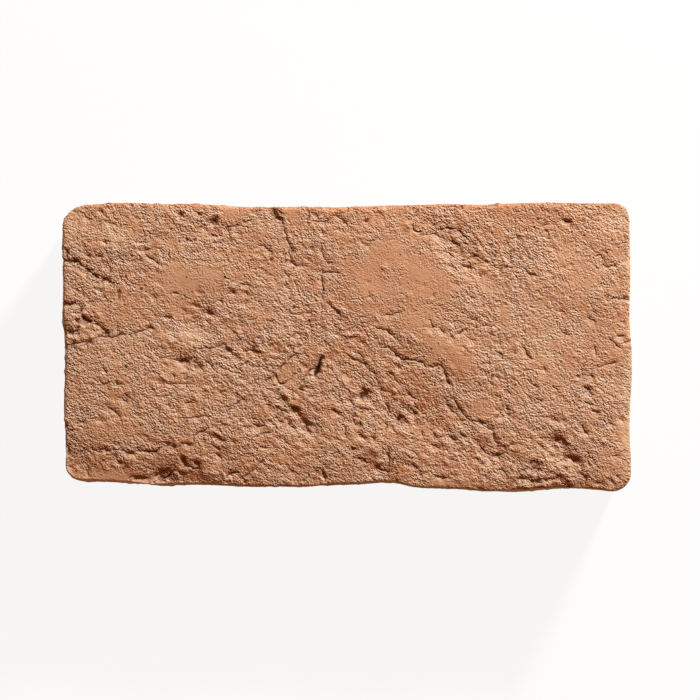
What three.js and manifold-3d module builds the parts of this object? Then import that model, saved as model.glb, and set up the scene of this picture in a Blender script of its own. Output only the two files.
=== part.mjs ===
// A hand-moulded clay brick, fired in one piece.
//
// The clot of clay is thrown into a sanded mould, so five faces carry what the clay did
// there: soft wavy edges, rounded corners, folds that never closed, pits and dragged sand.
// The sixth face, the bed, is struck off level along the top of the mould. Here it lies on
// the ground at z = 0, with the length along X, the width along Y and the moulded face up.
//
// Millimetres. Places on a face are shares of its half length and half width, from -1 to 1,
// so that they stay on the brick when a size changes; widths and depths are real sizes.

import * as THREE from 'three';
import { mergeVertices } from 'three/addons/utils/BufferGeometryUtils.js';
import Module from 'manifold-3d';

// ---------------------------------------------------------------- driving dimensions

const LENGTH = 240;
const WIDTH = 120;
const THICKNESS = 55;

const CORNER_RADIUS = 8.5; // upright corners, seen from above
const ARRIS_RADIUS = 1.5; // rounding between the moulded faces
const BED_TRIM = 1.2; // clay struck off below the bed, through the lower rounding

const FACE_DROOP = 0.5; // how far the moulded face sinks at its rim
const FACE_DROOP_REACH = 6; // and how fast that dies away inwards
const SIDE_BULGE = 0.6; // how far each side draws in from mid height to its arrises
const SIDE_WAVE = 0.25; // height of the slow waves along the sides
const SIDE_WAVE_LENGTH = 62;

const CELL = 5; // size of the facets in the middle of a face
const EDGE_CROWDING = 0.42; // 0 spaces the facets evenly, 0.5 packs them to the edges

// How far each long side strays from its straight line, outward, at even steps from
// -X to +X. The front runs out of square: the mould was wider at one end.
const BACK_WAVE = [0.2, 1, 0.8, 0.4, -0.6, -0.6, -0.7, -0.1, 0.6, 0.4, 1.2, 1.2, 1.8];
const FRONT_WAVE = [
  -2.9, -3, -2.9, -1.7, -0.3, -0.9, -1.3, -1.2, -1, -1.2, -0.8, -1.2, -2,
  -2.4, -2.4, -0.6, -0.1, 0.5, 1.4, 1.4, 1.1, 0.5, 0.5, 1.4, 2,
];
// The same for the two ends, from -Y to +Y.
const LEFT_WAVE = [-0.2, -0.6, -1.2, -0.8, -1.2, -1.4, -0.7, -0.5, -0.2, 0, 0.3];
const RIGHT_WAVE = [-0.1, 0.5, 0.3, 0.4, 0.9, 0.2, -0.7, -0.5, -0.3, -0.5, 0.9];

// Broad swells (+) and hollows (-) of the moulded face. Each reaches further along than
// across, and `turn` is the angle of its long way, in degrees from X towards Y.
const SWELLS = [
  { name: 'plateau', at: [0.2, 0.433], reach: [42, 24], turn: -12, height: 0.9 },
  { name: 'plateau toe', at: [0.35, -0.033], reach: [24, 8], turn: -26, height: 0.9 },
  { name: 'trough under the plateau', at: [0.2, -0.433], reach: [26, 9], turn: -28, height: -1 },
  { name: 'left plateau', at: [-0.45, 0.5], reach: [19, 9], turn: 5, height: 0.5 },
  { name: 'right shoulder', at: [0.75, 0.433], reach: [16, 11], turn: -25, height: 0.7 },
  { name: 'left ridge', at: [-0.55, 0.017], reach: [10, 4], turn: -8, height: 0.6 },
  { name: 'dip above the left ridge', at: [-0.517, 0.167], reach: [7, 4], turn: -25, height: -0.6 },
  { name: 'middle rise', at: [-0.267, 0.133], reach: [14, 8], turn: -20, height: 0.4 },
  { name: 'upper left rise', at: [-0.825, 0.683], reach: [9, 5], turn: -20, height: 0.5 },
  { name: 'left clod', at: [-0.958, 0.217], reach: [6, 5], turn: 0, height: 0.6 },
  { name: 'slanting dip at the back', at: [0.375, 0.7], reach: [15, 4.5], turn: -46, height: -0.8 },
  { name: 'upper middle dip', at: [-0.133, 0.55], reach: [10, 6], turn: -20, height: -0.4 },
  { name: 'upper left dip', at: [-0.475, 0.8], reach: [10, 4], turn: 0, height: -0.5 },
  { name: 'lower middle dip', at: [-0.167, -0.517], reach: [8, 4], turn: -35, height: -0.8 },
  { name: 'small lower dip', at: [-0.317, -0.517], reach: [6, 3], turn: -20, height: -0.5 },
  { name: 'lower left dip', at: [-0.45, -0.733], reach: [7, 4], turn: -20, height: -0.8 },
  { name: 'dip at the crescent', at: [0.517, -0.75], reach: [9, 5], turn: -25, height: -0.9 },
  { name: 'right dip', at: [0.75, -0.75], reach: [10, 5], turn: -35, height: -1.1 },
  { name: 'front dip', at: [0.117, -0.9], reach: [8, 6], turn: -50, height: -0.9 },
  { name: 'worn front edge, middle', at: [-0.092, -0.933], reach: [10, 5], turn: 0, height: -0.6 },
  { name: 'worn front edge, left', at: [-0.617, -0.95], reach: [19, 8], turn: 0, height: -2.6 },
  { name: 'worn front left corner', at: [-0.95, -0.833], reach: [12, 9], turn: 0, height: -1.9 },
  { name: 'worn front edge, right', at: [0.733, -1.033], reach: [36, 6], turn: 0, height: -1.5 },
  { name: 'worn back left corner', at: [-0.95, 0.95], reach: [10, 8], turn: 0, height: -1.3 },
  { name: 'worn back right corner', at: [0.958, 0.95], reach: [10, 7], turn: 0, height: -1.2 },
  { name: 'worn right edge', at: [1.017, -0.533], reach: [9, 24], turn: 0, height: -1 },
];

// Folds and cracks, as V-shaped grooves. Each runs through its places on the named face,
// fading out at both ends. On an upright face the second share is the height.
const CREASES = [
  {
    name: 'fold around the plateau',
    face: 'top',
    width: 1.8,
    depth: 1.4,
    path: [[0.15, -0.03], [0.25, -0.095], [0.33, -0.13], [0.364, -0.27], [0.434, -0.51], [0.52, -0.6]],
  },
  {
    name: 'crack from the back edge',
    face: 'top',
    width: 2,
    depth: 2,
    path: [[-0.27, 0.99], [-0.234, 0.904], [-0.22, 0.83], [-0.19, 0.7], [-0.153, 0.567]],
  },
  {
    name: 'the same crack, down the back',
    face: 'back',
    width: 1.6,
    depth: 1.4,
    path: [[-0.27, 0.98], [-0.275, 0.7], [-0.25, 0.35]],
  },
  {
    name: 'crack from the left end',
    face: 'top',
    width: 1.7,
    depth: 1.7,
    path: [[-0.99, 0.62], [-0.94, 0.6], [-0.895, 0.517], [-0.81, 0.43]],
  },
  {
    name: 'the same crack, down the left end',
    face: 'left',
    width: 1.5,
    depth: 1.3,
    path: [[0.62, 0.97], [0.58, 0.6], [0.5, 0.3]],
  },
  {
    name: 'channel behind the left clod',
    face: 'top',
    width: 3,
    depth: 2.3,
    path: [[-0.99, 0.335], [-0.94, 0.29], [-0.925, 0.215], [-0.88, 0.17], [-0.84, 0.11]],
  },
  {
    name: 'crack into the right end',
    face: 'top',
    width: 1.6,
    depth: 1.6,
    path: [[0.9, 0.37], [0.94, 0.34], [0.99, 0.335]],
  },
  {
    name: 'low left fold',
    face: 'top',
    width: 1.5,
    depth: 1.3,
    path: [[-0.9, -0.725], [-0.8, -0.72], [-0.71, -0.72], [-0.6, -0.67]],
  },
  {
    name: 'wedge pit',
    face: 'top',
    width: 3.2,
    depth: 3.2,
    path: [[-0.088, -0.05], [-0.1, -0.11], [-0.115, -0.23]],
  },
  {
    name: 'arm of the wedge pit',
    face: 'top',
    width: 1.8,
    depth: 1.6,
    path: [[-0.102, -0.12], [-0.15, -0.19]],
  },
  {
    name: 'fold beside the wedge pit',
    face: 'top',
    width: 1.4,
    depth: 1.2,
    path: [[-0.17, -0.02], [-0.21, -0.095], [-0.26, -0.19]],
  },
  {
    name: 'upper right fold',
    face: 'top',
    width: 1.7,
    depth: 1.4,
    path: [[0.23, 0.87], [0.29, 0.8], [0.36, 0.82], [0.42, 0.75]],
  },
  {
    name: 'fold on the plateau',
    face: 'top',
    width: 1.4,
    depth: 1.2,
    path: [[0.28, 0.2], [0.315, 0.145], [0.345, 0.09]],
  },
  {
    name: 'crescent fold',
    face: 'top',
    width: 2.4,
    depth: 1.6,
    path: [[0.47, -0.66], [0.505, -0.75], [0.57, -0.69]],
  },
  {
    name: 'mould fold on the front',
    face: 'front',
    width: 1.8,
    depth: 1.3,
    path: [[-0.62, 0.45], [-0.35, 0.2], [-0.05, 0.28], [0.2, 0.02]],
  },
  {
    name: 'short fold on the front',
    face: 'front',
    width: 1.5,
    depth: 1.1,
    path: [[0.45, 0.5], [0.62, 0.22], [0.8, 0.25]],
  },
  {
    name: 'mould fold on the back',
    face: 'back',
    width: 1.7,
    depth: 1.2,
    path: [[-0.05, 0.1], [0.25, 0.35], [0.5, 0.2], [0.75, 0.42]],
  },
  {
    name: 'fold on the right end',
    face: 'right',
    width: 1.6,
    depth: 1.2,
    path: [[-0.55, -0.1], [-0.1, 0.25], [0.35, 0.12]],
  },
];

// Round pits where a lump of sand or a pebble fell out, as half balls.
const PITS = [
  { at: [0.969, 0.348], across: 2 },
  { at: [-0.833, 0.487], across: 3.4 },
  { at: [-0.231, 0.944], across: 2.6 },
  { at: [0.42, 0.56], across: 2.6 },
  { at: [0.77, 0.89], across: 2.6 },
  { at: [0.105, -0.186], across: 2.6 },
  { at: [-0.803, -0.78], across: 3.6 },
  { at: [0.85, -0.3], across: 3.4 },
  { at: [-0.468, 0.877], across: 3 },
  { at: [-0.497, 0.25], across: 4 },
  { at: [0.077, -0.345], across: 4 },
];

const CUTTER_CLEARANCE = 1.6; // how far a cutter stands out of the face it cuts
const CREASE_STEP = 3.2; // length of clay between two stations of a crease

// ---------------------------------------------------------------- joining and cutting

const wasm = await Module();
wasm.setup();

function toSolid(geometry) {
  geometry.deleteAttribute('normal');
  geometry.deleteAttribute('uv');
  const welded = mergeVertices(geometry);
  const mesh = new wasm.Mesh({
    numProp: 3,
    vertProperties: Float32Array.from(welded.attributes.position.array),
    triVerts: Uint32Array.from(welded.index.array),
  });
  return new wasm.Manifold(mesh);
}

function toGeometry(solid) {
  const { vertProperties, triVerts } = solid.getMesh();
  const geometry = new THREE.BufferGeometry();
  geometry.setAttribute('position', new THREE.BufferAttribute(vertProperties, 3));
  geometry.setIndex(new THREE.BufferAttribute(triVerts, 1));
  geometry.computeVertexNormals();
  return geometry;
}

function moveEachVertex(geometry, place) {
  const position = geometry.attributes.position;
  const point = new THREE.Vector3();
  for (let i = 0; i < position.count; i += 1) {
    place(point.fromBufferAttribute(position, i));
    position.setXYZ(i, point.x, point.y, point.z);
  }
  return geometry;
}

// ---------------------------------------------------------------- the moulded form

const HALF_LENGTH = LENGTH / 2;
const HALF_WIDTH = WIDTH / 2;
const HALF_BLOCK = new THREE.Vector3(HALF_LENGTH, HALF_WIDTH, (THICKNESS + BED_TRIM) / 2);

// A smooth line through evenly spaced values; `share` runs along it from -1 to 1.
function smoothLine(values) {
  const curve = new THREE.SplineCurve(values.map((value, i) => new THREE.Vector2(i, value)));
  return (share) => curve.getPoint(THREE.MathUtils.clamp((share + 1) / 2, 0, 1)).y;
}

const backLine = smoothLine(BACK_WAVE);
const frontLine = smoothLine(FRONT_WAVE);
const leftLine = smoothLine(LEFT_WAVE);
const rightLine = smoothLine(RIGHT_WAVE);

// Rolls a square edge into a round one. Both distances are measured inwards from the two
// faces that meet there, and every square ring of the edge becomes a ring of a circle.
function rollEdge(first, second, radius) {
  const a = radius - first;
  const b = radius - second;
  if (a <= 0 || b <= 0) {
    return [first, second];
  }
  const pull = Math.max(a, b) / Math.hypot(a, b);
  return [radius - a * pull, radius - b * pull];
}

const ORIGIN = new THREE.Vector2();

// Height of the moulded face over its nominal plane, at a point `inset` from the rim.
function faceRelief(x, y, inset) {
  let height = -FACE_DROOP * Math.exp(-inset / FACE_DROOP_REACH);
  for (const { at, reach, turn, height: rise } of SWELLS) {
    const away = new THREE.Vector2(x - at[0] * HALF_LENGTH, y - at[1] * HALF_WIDTH);
    away.rotateAround(ORIGIN, -THREE.MathUtils.degToRad(turn));
    height += rise * Math.exp(-((away.x / reach[0]) ** 2 + (away.y / reach[1]) ** 2));
  }
  return height;
}

// How far a side stands out at a height from -1 (bed) to 1 (moulded face), at `along`
// millimetres from its middle: a slow barrel, crossed by slanting waves.
function sideRelief(along, height) {
  const phase = (along / SIDE_WAVE_LENGTH) * 2 * Math.PI;
  const waves = Math.sin(phase + 1.7 * height) + 0.6 * Math.sin(1.73 * phase - 2.1 * height + 1);
  return (1 - height * height) * SIDE_WAVE * waves - height * height * SIDE_BULGE;
}

// Moves a point of the plain block, centred on the origin, to its place on the brick.
function mould(point) {
  const height = point.z / HALF_BLOCK.z;
  const shareX = point.x / HALF_LENGTH;
  const shareY = point.y / HALF_WIDTH;

  // the arrises, between the upright sides and the two large faces
  const inset = Math.min(HALF_LENGTH - Math.abs(point.x), HALF_WIDTH - Math.abs(point.y));
  const sunk = HALF_BLOCK.z - Math.abs(point.z);
  const [newInset, newSunk] = rollEdge(inset, sunk, ARRIS_RADIUS);
  let x = (point.x * (HALF_LENGTH - newInset)) / Math.max(HALF_LENGTH - inset, 1e-6);
  let y = (point.y * (HALF_WIDTH - newInset)) / Math.max(HALF_WIDTH - inset, 1e-6);
  let z = Math.sign(point.z) * (HALF_BLOCK.z - newSunk);

  // the upright corners
  const [insetX, insetY] = rollEdge(HALF_LENGTH - Math.abs(x), HALF_WIDTH - Math.abs(y), CORNER_RADIUS);
  x = Math.sign(x) * (HALF_LENGTH - insetX);
  y = Math.sign(y) * (HALF_WIDTH - insetY);

  // the moulded face, fading out towards the bed
  const upward = (1 + height) / 2;
  z += upward * upward * faceRelief(x, y, newInset);

  // the wavy sides, fading out towards the middle of the brick
  const outX = (x < 0 ? leftLine(shareY) : rightLine(shareY)) + sideRelief(y, height);
  const outY = (y < 0 ? frontLine(shareX) : backLine(shareX)) + sideRelief(x, height);
  x += outX * shareX * Math.abs(shareX);
  y += outY * shareY * Math.abs(shareY);

  return point.set(x, y, z + HALF_BLOCK.z - BED_TRIM);
}

// Crowds evenly spaced rows towards both ends of a side.
function crowd(share) {
  return share + EDGE_CROWDING * share * (1 - share * share);
}

function mouldedBody() {
  const rows = (size) => Math.max(6, Math.round(size / CELL));
  const block = new THREE.BoxGeometry(2, 2, 2, rows(LENGTH), rows(WIDTH), rows(THICKNESS));
  const place = (point) => {
    point.set(crowd(point.x), crowd(point.y), crowd(point.z)).multiply(HALF_BLOCK);
    return mould(point);
  };
  return toSolid(moveEachVertex(block, place));
}

// ---------------------------------------------------------------- creases and pits

// For each face, the block point at two shares of it, and the way out.
const FACES = {
  top: { place: (u, v) => new THREE.Vector3(u, v, 1), out: new THREE.Vector3(0, 0, 1) },
  front: { place: (u, v) => new THREE.Vector3(u, -1, v), out: new THREE.Vector3(0, -1, 0) },
  back: { place: (u, v) => new THREE.Vector3(u, 1, v), out: new THREE.Vector3(0, 1, 0) },
  left: { place: (u, v) => new THREE.Vector3(-1, u, v), out: new THREE.Vector3(-1, 0, 0) },
  right: { place: (u, v) => new THREE.Vector3(1, u, v), out: new THREE.Vector3(1, 0, 0) },
};

function pointOn(face, [u, v]) {
  return mould(FACES[face].place(u, v).multiply(HALF_BLOCK));
}

// A three-sided rod bent along the crease, with its keel in the clay and its two upper
// edges clear of the face. It is thickest in the middle and fades to both ends.
function creaseCutter({ face, width, depth, path }) {
  const curve = new THREE.CatmullRomCurve3(path.map((place) => pointOn(face, place)));
  const stations = Math.max(3, Math.ceil(curve.getLength() / CREASE_STEP));
  const rod = new THREE.CylinderGeometry(1, 1, 1, 3, stations);
  const { out } = FACES[face];
  const shoulder = Math.sin((2 * Math.PI) / 3); // the rod's corners are at 0, 120 and 240 degrees
  const place = (point) => {
    const along = THREE.MathUtils.clamp(point.y + 0.5, 0, 1);
    const fade = 0.3 + 0.7 * Math.sqrt(Math.sin(Math.PI * along));
    const across = new THREE.Vector3().crossVectors(out, curve.getTangentAt(along)).normalize();
    const isKeel = point.z > 0.5;
    const reach = isKeel ? -depth * fade : CUTTER_CLEARANCE;
    const spread = (width * fade * (depth * fade + CUTTER_CLEARANCE)) / (2 * depth * fade);
    const side = isKeel ? 0 : (point.x / shoulder) * spread;
    return point
      .copy(curve.getPointAt(along))
      .addScaledVector(out, reach)
      .addScaledVector(across, side);
  };
  return toSolid(moveEachVertex(rod, place));
}

function pitCutter({ at, across }) {
  const centre = pointOn('top', at);
  const ball = new THREE.IcosahedronGeometry(across / 2, 1);
  return toSolid(ball.translate(centre.x, centre.y, centre.z));
}

// The slab of spare clay that the strike takes off below the bed.
function spareClay() {
  const slab = new THREE.BoxGeometry(2 * LENGTH, 2 * WIDTH, THICKNESS);
  return toSolid(slab.translate(0, 0, -THICKNESS / 2));
}

// ---------------------------------------------------------------- the brick

function brickGeometry() {
  let clay = mouldedBody();
  const cutters = [spareClay(), ...CREASES.map(creaseCutter), ...PITS.map(pitCutter)];
  for (const cutter of cutters) {
    clay = clay.subtract(cutter);
  }
  const geometry = toGeometry(clay);
  geometry.computeBoundingBox();
  const centre = geometry.boundingBox.getCenter(new THREE.Vector3());
  return geometry.translate(-centre.x, -centre.y, 0);
}

const firedClay = new THREE.MeshStandardMaterial({
  color: '#be8866',
  roughness: 0.92,
  metalness: 0,
});

const brick = new THREE.Mesh(brickGeometry(), firedClay);
brick.name = 'brick';

const part = new THREE.Group();
part.name = 'clay_brick';
part.add(brick);

export default part;
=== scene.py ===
# %% [markdown]
# # A hand-moulded clay brick
# A soft clot of clay is rolled in sand and thrown into a wooden mould. Five faces keep what
# happened there: the sand, the folds that never closed, the pits where a lump of sand fell out
# and a slightly wavy outline. The sixth face, the bed, is struck off level. Firing turns it all
# into one hard, matt, porous piece.
#
# In Blender the whole brick is one closed mesh. Its broad form is a rounded block. Its relief
# is a height that is worked out at every point and added along the surface's own direction.
# That is how the clay got it too: pressed, dragged and torn from outside.

# %% Tools and the frame
import functools
import math

import bpy
import numpy as np
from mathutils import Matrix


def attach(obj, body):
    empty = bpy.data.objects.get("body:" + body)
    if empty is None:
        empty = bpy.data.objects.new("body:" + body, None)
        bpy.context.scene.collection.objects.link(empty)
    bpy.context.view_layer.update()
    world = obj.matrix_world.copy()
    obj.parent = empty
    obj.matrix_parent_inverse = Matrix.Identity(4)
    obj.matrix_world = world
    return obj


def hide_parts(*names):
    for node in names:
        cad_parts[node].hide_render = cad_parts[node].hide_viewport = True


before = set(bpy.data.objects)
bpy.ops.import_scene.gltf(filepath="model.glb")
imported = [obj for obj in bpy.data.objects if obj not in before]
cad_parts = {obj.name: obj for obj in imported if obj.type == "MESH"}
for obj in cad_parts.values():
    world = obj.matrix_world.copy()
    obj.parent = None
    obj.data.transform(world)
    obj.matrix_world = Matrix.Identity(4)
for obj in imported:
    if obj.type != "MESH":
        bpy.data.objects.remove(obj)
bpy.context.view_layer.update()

# %% [markdown]
# ## The size of the block
# All sizes below are millimetres, and the mesh is turned to metres at the very end. The mould
# is 240 by 120 by 55 mm inside. The wavy sides stray from that by up to three millimetres, so
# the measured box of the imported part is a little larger. The strike takes off the last millimetre
# of the lower rounding, which leaves the bed flat, with a crisp rim.

# %% Driving sizes
LENGTH, WIDTH, THICKNESS = 240.0, 120.0, 55.0
HALF_LENGTH, HALF_WIDTH = LENGTH / 2, WIDTH / 2
CORNER_RADIUS = 8.5
ARRIS_RADIUS = 1.5
BED_TRIM = 1.2
FACE_DROOP, FACE_DROOP_REACH = 0.5, 6.0
SIDE_BULGE, SIDE_WAVE, SIDE_WAVE_LENGTH = 0.6, 0.25, 62.0
BLOCK = np.array([HALF_LENGTH, HALF_WIDTH, (THICKNESS + BED_TRIM) / 2])

# How far each side strays outward from its straight line, at even steps along it.
BACK_WAVE = [0.2, 1.0, 0.8, 0.4, -0.6, -0.6, -0.7, -0.1, 0.6, 0.4, 1.2, 1.2, 1.8]
FRONT_WAVE = [
    -2.9, -3.0, -2.9, -1.7, -0.3, -0.9, -1.3, -1.2, -1.0, -1.2, -0.8, -1.2, -2.0,
    -2.4, -2.4, -0.6, -0.1, 0.5, 1.4, 1.4, 1.1, 0.5, 0.5, 1.4, 2.0,
]
LEFT_WAVE = [-0.2, -0.6, -1.2, -0.8, -1.2, -1.4, -0.7, -0.5, -0.2, 0.0, 0.3]
RIGHT_WAVE = [-0.1, 0.5, 0.3, 0.4, 0.9, 0.2, -0.7, -0.5, -0.3, -0.5, 0.9]
print("block:", LENGTH, WIDTH, THICKNESS, "mm")

# %% [markdown]
# ## One grid around the whole block
# The moulded face is looked at most closely, so it gets the finest cells, two thirds of a
# millimetre. Just below its rim every second column ends, and again at the bed, where nothing
# fine shows. The rings between the two grids close the mesh all the way round, so there is no
# seam and no pole.

# %% Grids and rings of cells
FINE_CELLS = (360, 180)
FINE_CELL = LENGTH / FINE_CELLS[0]
RIM_ROWS = 6
HALVING_ROW = 1.5  # cells from the last fine ring down to the first one with half its points
SIDE_ROWS = 36
LOWEST_RING = 1.6  # mm above the foot of the plain block


def grid_shares(cells_x, cells_y):
    """Even places over a rectangle, row by row: both shares run from -1 to 1."""
    u = np.linspace(-1, 1, cells_x + 1)
    v = np.linspace(-1, 1, cells_y + 1)
    return np.stack([np.tile(u, cells_y + 1), np.repeat(v, cells_x + 1)], 1)


def grid_quads(cells_x, cells_y, first):
    """The four corners of every cell of such a grid, anticlockwise seen from above."""
    row, column = np.divmod(np.arange(cells_x * cells_y), cells_x)
    corner = first + row * (cells_x + 1) + column
    return np.stack([corner, corner + 1, corner + cells_x + 2, corner + cells_x + 1], 1)


def rim_steps(cells_x, cells_y):
    """Column and row of each point on the grid's rim, once round, anticlockwise from above."""
    x, y = np.arange(cells_x), np.arange(cells_y)
    columns = np.concatenate([x, np.full(cells_y, cells_x), cells_x - x, np.zeros(cells_y, int)])
    rows = np.concatenate([np.zeros(cells_x, int), y, np.full(cells_x, cells_y), cells_y - y])
    return columns, rows


def band_quads(upper, lower):
    """Joins two rings with as many points each, the upper one first, facing outwards."""
    return np.stack([lower, np.roll(lower, -1), np.roll(upper, -1), upper], 1)


def halving_triangles(fine, coarse, fine_is_upper=True):
    """Joins a ring to one with half its points, three triangles for each coarse step."""
    start, middle, end = fine[0::2], fine[1::2], np.roll(fine[0::2], -1)
    after = np.roll(coarse, -1)
    triangles = np.concatenate(
        [
            np.stack([coarse, middle, start], 1),
            np.stack([coarse, after, middle], 1),
            np.stack([after, end, middle], 1),
        ]
    )
    return triangles if fine_is_upper else triangles[:, ::-1]


print("round a grid of 2 by 1 cells:", len(rim_steps(2, 1)[0]), "points")

# %% The grid of the plain block


def build_block_grid():
    """Points of the plain block (mm, centred), its four-sided and its three-sided faces."""
    top = BLOCK[2]
    points, quads, triangles = [], [], []
    count = 0

    def add_points(shares, height):
        """Adds points at these shares of the block's plan, at one height."""
        nonlocal count
        plan = shares * BLOCK[:2]
        points.append(np.column_stack([plan, np.full(len(plan), height)]))
        first = count
        count += len(plan)
        return first + np.arange(len(plan))

    def ring_shares(cells_x, cells_y):
        """The rim of a grid as shares of the block: twice the step over the cells, less one."""
        columns, rows = rim_steps(cells_x, cells_y)
        return np.stack([2 * columns / cells_x - 1, 2 * rows / cells_y - 1], 1)

    fine_x, fine_y = FINE_CELLS
    face = add_points(grid_shares(fine_x, fine_y), top)
    quads.append(grid_quads(fine_x, fine_y, face[0]))
    columns, rows = rim_steps(fine_x, fine_y)
    ring = face[0] + rows * (fine_x + 1) + columns

    for row in range(1, RIM_ROWS + 1):
        below = add_points(ring_shares(fine_x, fine_y), top - row * FINE_CELL)
        quads.append(band_quads(ring, below))
        ring = below

    side_top = top - (RIM_ROWS + HALVING_ROW) * FINE_CELL
    for height in np.linspace(side_top, LOWEST_RING - top, SIDE_ROWS):
        below = add_points(ring_shares(fine_x // 2, fine_y // 2), height)
        if len(ring) == len(below):
            quads.append(band_quads(ring, below))
        else:
            triangles.append(halving_triangles(ring, below))
        ring = below

    coarse_x, coarse_y = fine_x // 4, fine_y // 4
    bed = add_points(grid_shares(coarse_x, coarse_y), -top)
    quads.append(grid_quads(coarse_x, coarse_y, bed[0])[:, ::-1])
    columns, rows = rim_steps(coarse_x, coarse_y)
    triangles.append(halving_triangles(ring, bed[0] + rows * (coarse_x + 1) + columns))
    return np.concatenate(points), np.concatenate(quads), np.concatenate(triangles)


block, quads, triangles = build_block_grid()
print("points:", len(block), " triangles:", 2 * len(quads) + len(triangles))

# %% [markdown]
# ## The moulded form
# A square edge becomes a round one when each square ring of points around it is pulled onto
# a circle. That is done twice: for the arrises around the large faces, and then for the four
# upright corners. After that the face sinks a little at its rim, where the clay drew back
# from the mould, and the sides sway.

# %% Smooth curves and rolled edges


def smooth_line(values, share):
    """A curve through evenly spaced values (Catmull-Rom), read at shares from -1 to 1."""
    values = np.asarray(values, float)
    last = len(values) - 1
    place = np.clip((share + 1) / 2, 0, 1) * last
    index = np.minimum(place.astype(int), last - 1)
    t = place - index
    before, here = values[np.maximum(index - 1, 0)], values[index]
    after, beyond = values[index + 1], values[np.minimum(index + 2, last)]
    cubic = -before + 3 * here - 3 * after + beyond
    square = 2 * before - 5 * here + 4 * after - beyond
    return 0.5 * (2 * here + (after - before) * t + square * t**2 + cubic * t**3)


def roll_edge(first, second, radius):
    """Two distances inwards from the faces of a square edge become those of a round edge."""
    a, b = radius - first, radius - second
    inside = (a > 0) & (b > 0)
    pull = np.where(inside, np.maximum(a, b) / np.maximum(np.hypot(a, b), 1e-9), 1)
    return np.where(inside, radius - a * pull, first), np.where(inside, radius - b * pull, second)


print("a corner rolled to 2 mm moves in by, mm:", round(float(roll_edge(0.0, 0.0, 2.0)[0]), 2))

# %% From the plain block to the brick's broad form


def side_relief(along, height):
    """A slow barrel, fullest at mid height, crossed by two waves along the side. One slants
    up it and one down, and their lengths never fall in step."""
    phase = along / SIDE_WAVE_LENGTH * 2 * np.pi
    waves = np.sin(phase + 1.7 * height) + 0.6 * np.sin(1.73 * phase - 2.1 * height + 1)
    return (1 - height**2) * SIDE_WAVE * waves - height**2 * SIDE_BULGE


def mould(points):
    """Rolls the edges, sinks the rim and sways the sides of the plain block."""
    size = np.abs(points)
    share = points / BLOCK
    inset = np.minimum(HALF_LENGTH - size[:, 0], HALF_WIDTH - size[:, 1])
    new_inset, new_sunk = roll_edge(inset, BLOCK[2] - size[:, 2], ARRIS_RADIUS)
    x = size[:, 0] * (HALF_LENGTH - new_inset) / np.maximum(HALF_LENGTH - inset, 1e-6)
    y = size[:, 1] * (HALF_WIDTH - new_inset) / np.maximum(HALF_WIDTH - inset, 1e-6)
    inset_x, inset_y = roll_edge(HALF_LENGTH - x, HALF_WIDTH - y, CORNER_RADIUS)
    way = np.sign(points)
    x = way[:, 0] * (HALF_LENGTH - inset_x)
    y = way[:, 1] * (HALF_WIDTH - inset_y)
    z = way[:, 2] * (BLOCK[2] - new_sunk)

    upward = (1 + share[:, 2]) / 2
    z = z - upward**2 * FACE_DROOP * np.exp(-new_inset / FACE_DROOP_REACH)
    ends = np.where(x < 0, smooth_line(LEFT_WAVE, share[:, 1]), smooth_line(RIGHT_WAVE, share[:, 1]))
    long_sides = np.where(
        y < 0, smooth_line(FRONT_WAVE, share[:, 0]), smooth_line(BACK_WAVE, share[:, 0])
    )
    x = x + (ends + side_relief(y, share[:, 2])) * share[:, 0] * np.abs(share[:, 0])
    y = y + (long_sides + side_relief(x, share[:, 2])) * share[:, 1] * np.abs(share[:, 1])
    return np.stack([x, y, z + BLOCK[2] - BED_TRIM], 1)


form = mould(block)
MOULD_CENTRE = (form.min(0) + form.max(0)) / 2 * [1, 1, 0]
print("form, mm:", form.min(0).round(2), form.max(0).round(2), "centre:", MOULD_CENTRE.round(2))

# %% Which way is out


def point_directions(points):
    """The way out at each point: the cross products of the diagonals, or of two edges, of the
    faces around it, added up and made one long. The length of the sum grows with the area of
    those faces, so it comes back too, as a weight."""
    total = np.zeros_like(points)
    for corners in (quads, triangles):
        p = points[corners]
        out = np.cross(p[:, 2] - p[:, 0], p[:, -1] - p[:, 1])
        for k in range(corners.shape[1]):
            for axis in range(3):
                total[:, axis] += np.bincount(corners[:, k], out[:, axis], len(points))
    length = np.linalg.norm(total, axis=1)
    return total / np.maximum(length, 1e-12)[:, None], length


outward, point_weights = point_directions(form)
print("points that face up:", int((outward[:, 2] > 0.9).sum()))

# %% [markdown]
# ## Noise that has no seam
# Clay relief is irregular but never jumps. Gradient noise gives that: every corner of a cubic
# lattice holds a repeatable random direction, and a point blends the eight around it. It is
# read in space, not on a flat picture, so it runs over the edges without a seam. Lumps come
# from the distance to the nearest of many scattered points.

# %% Repeatable noise in space


def lattice_numbers(corner, seed):
    """Three repeatable numbers from -1 to 1 for each whole-number lattice corner. The large
    odd factors only stir the bits, and each number is ten of them, from 0 to 1023."""
    c = corner.astype(np.uint32)
    mixed = c[:, 0] * np.uint32(374761393) + c[:, 1] * np.uint32(668265263)
    mixed = mixed + c[:, 2] * np.uint32(2246822519) + np.uint32(seed * 40503 + 977)
    mixed = (mixed ^ (mixed >> np.uint32(13))) * np.uint32(1274126177)
    mixed = (mixed ^ (mixed >> np.uint32(15))) * np.uint32(2654435761)
    mixed = mixed ^ (mixed >> np.uint32(16))
    parts = [(mixed >> np.uint32(shift)) & np.uint32(1023) for shift in (0, 10, 20)]
    return np.stack(parts, 1) / 511.5 - 1


NOISE_GAIN = 1.5  # brings the highest crests to about 1


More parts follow.
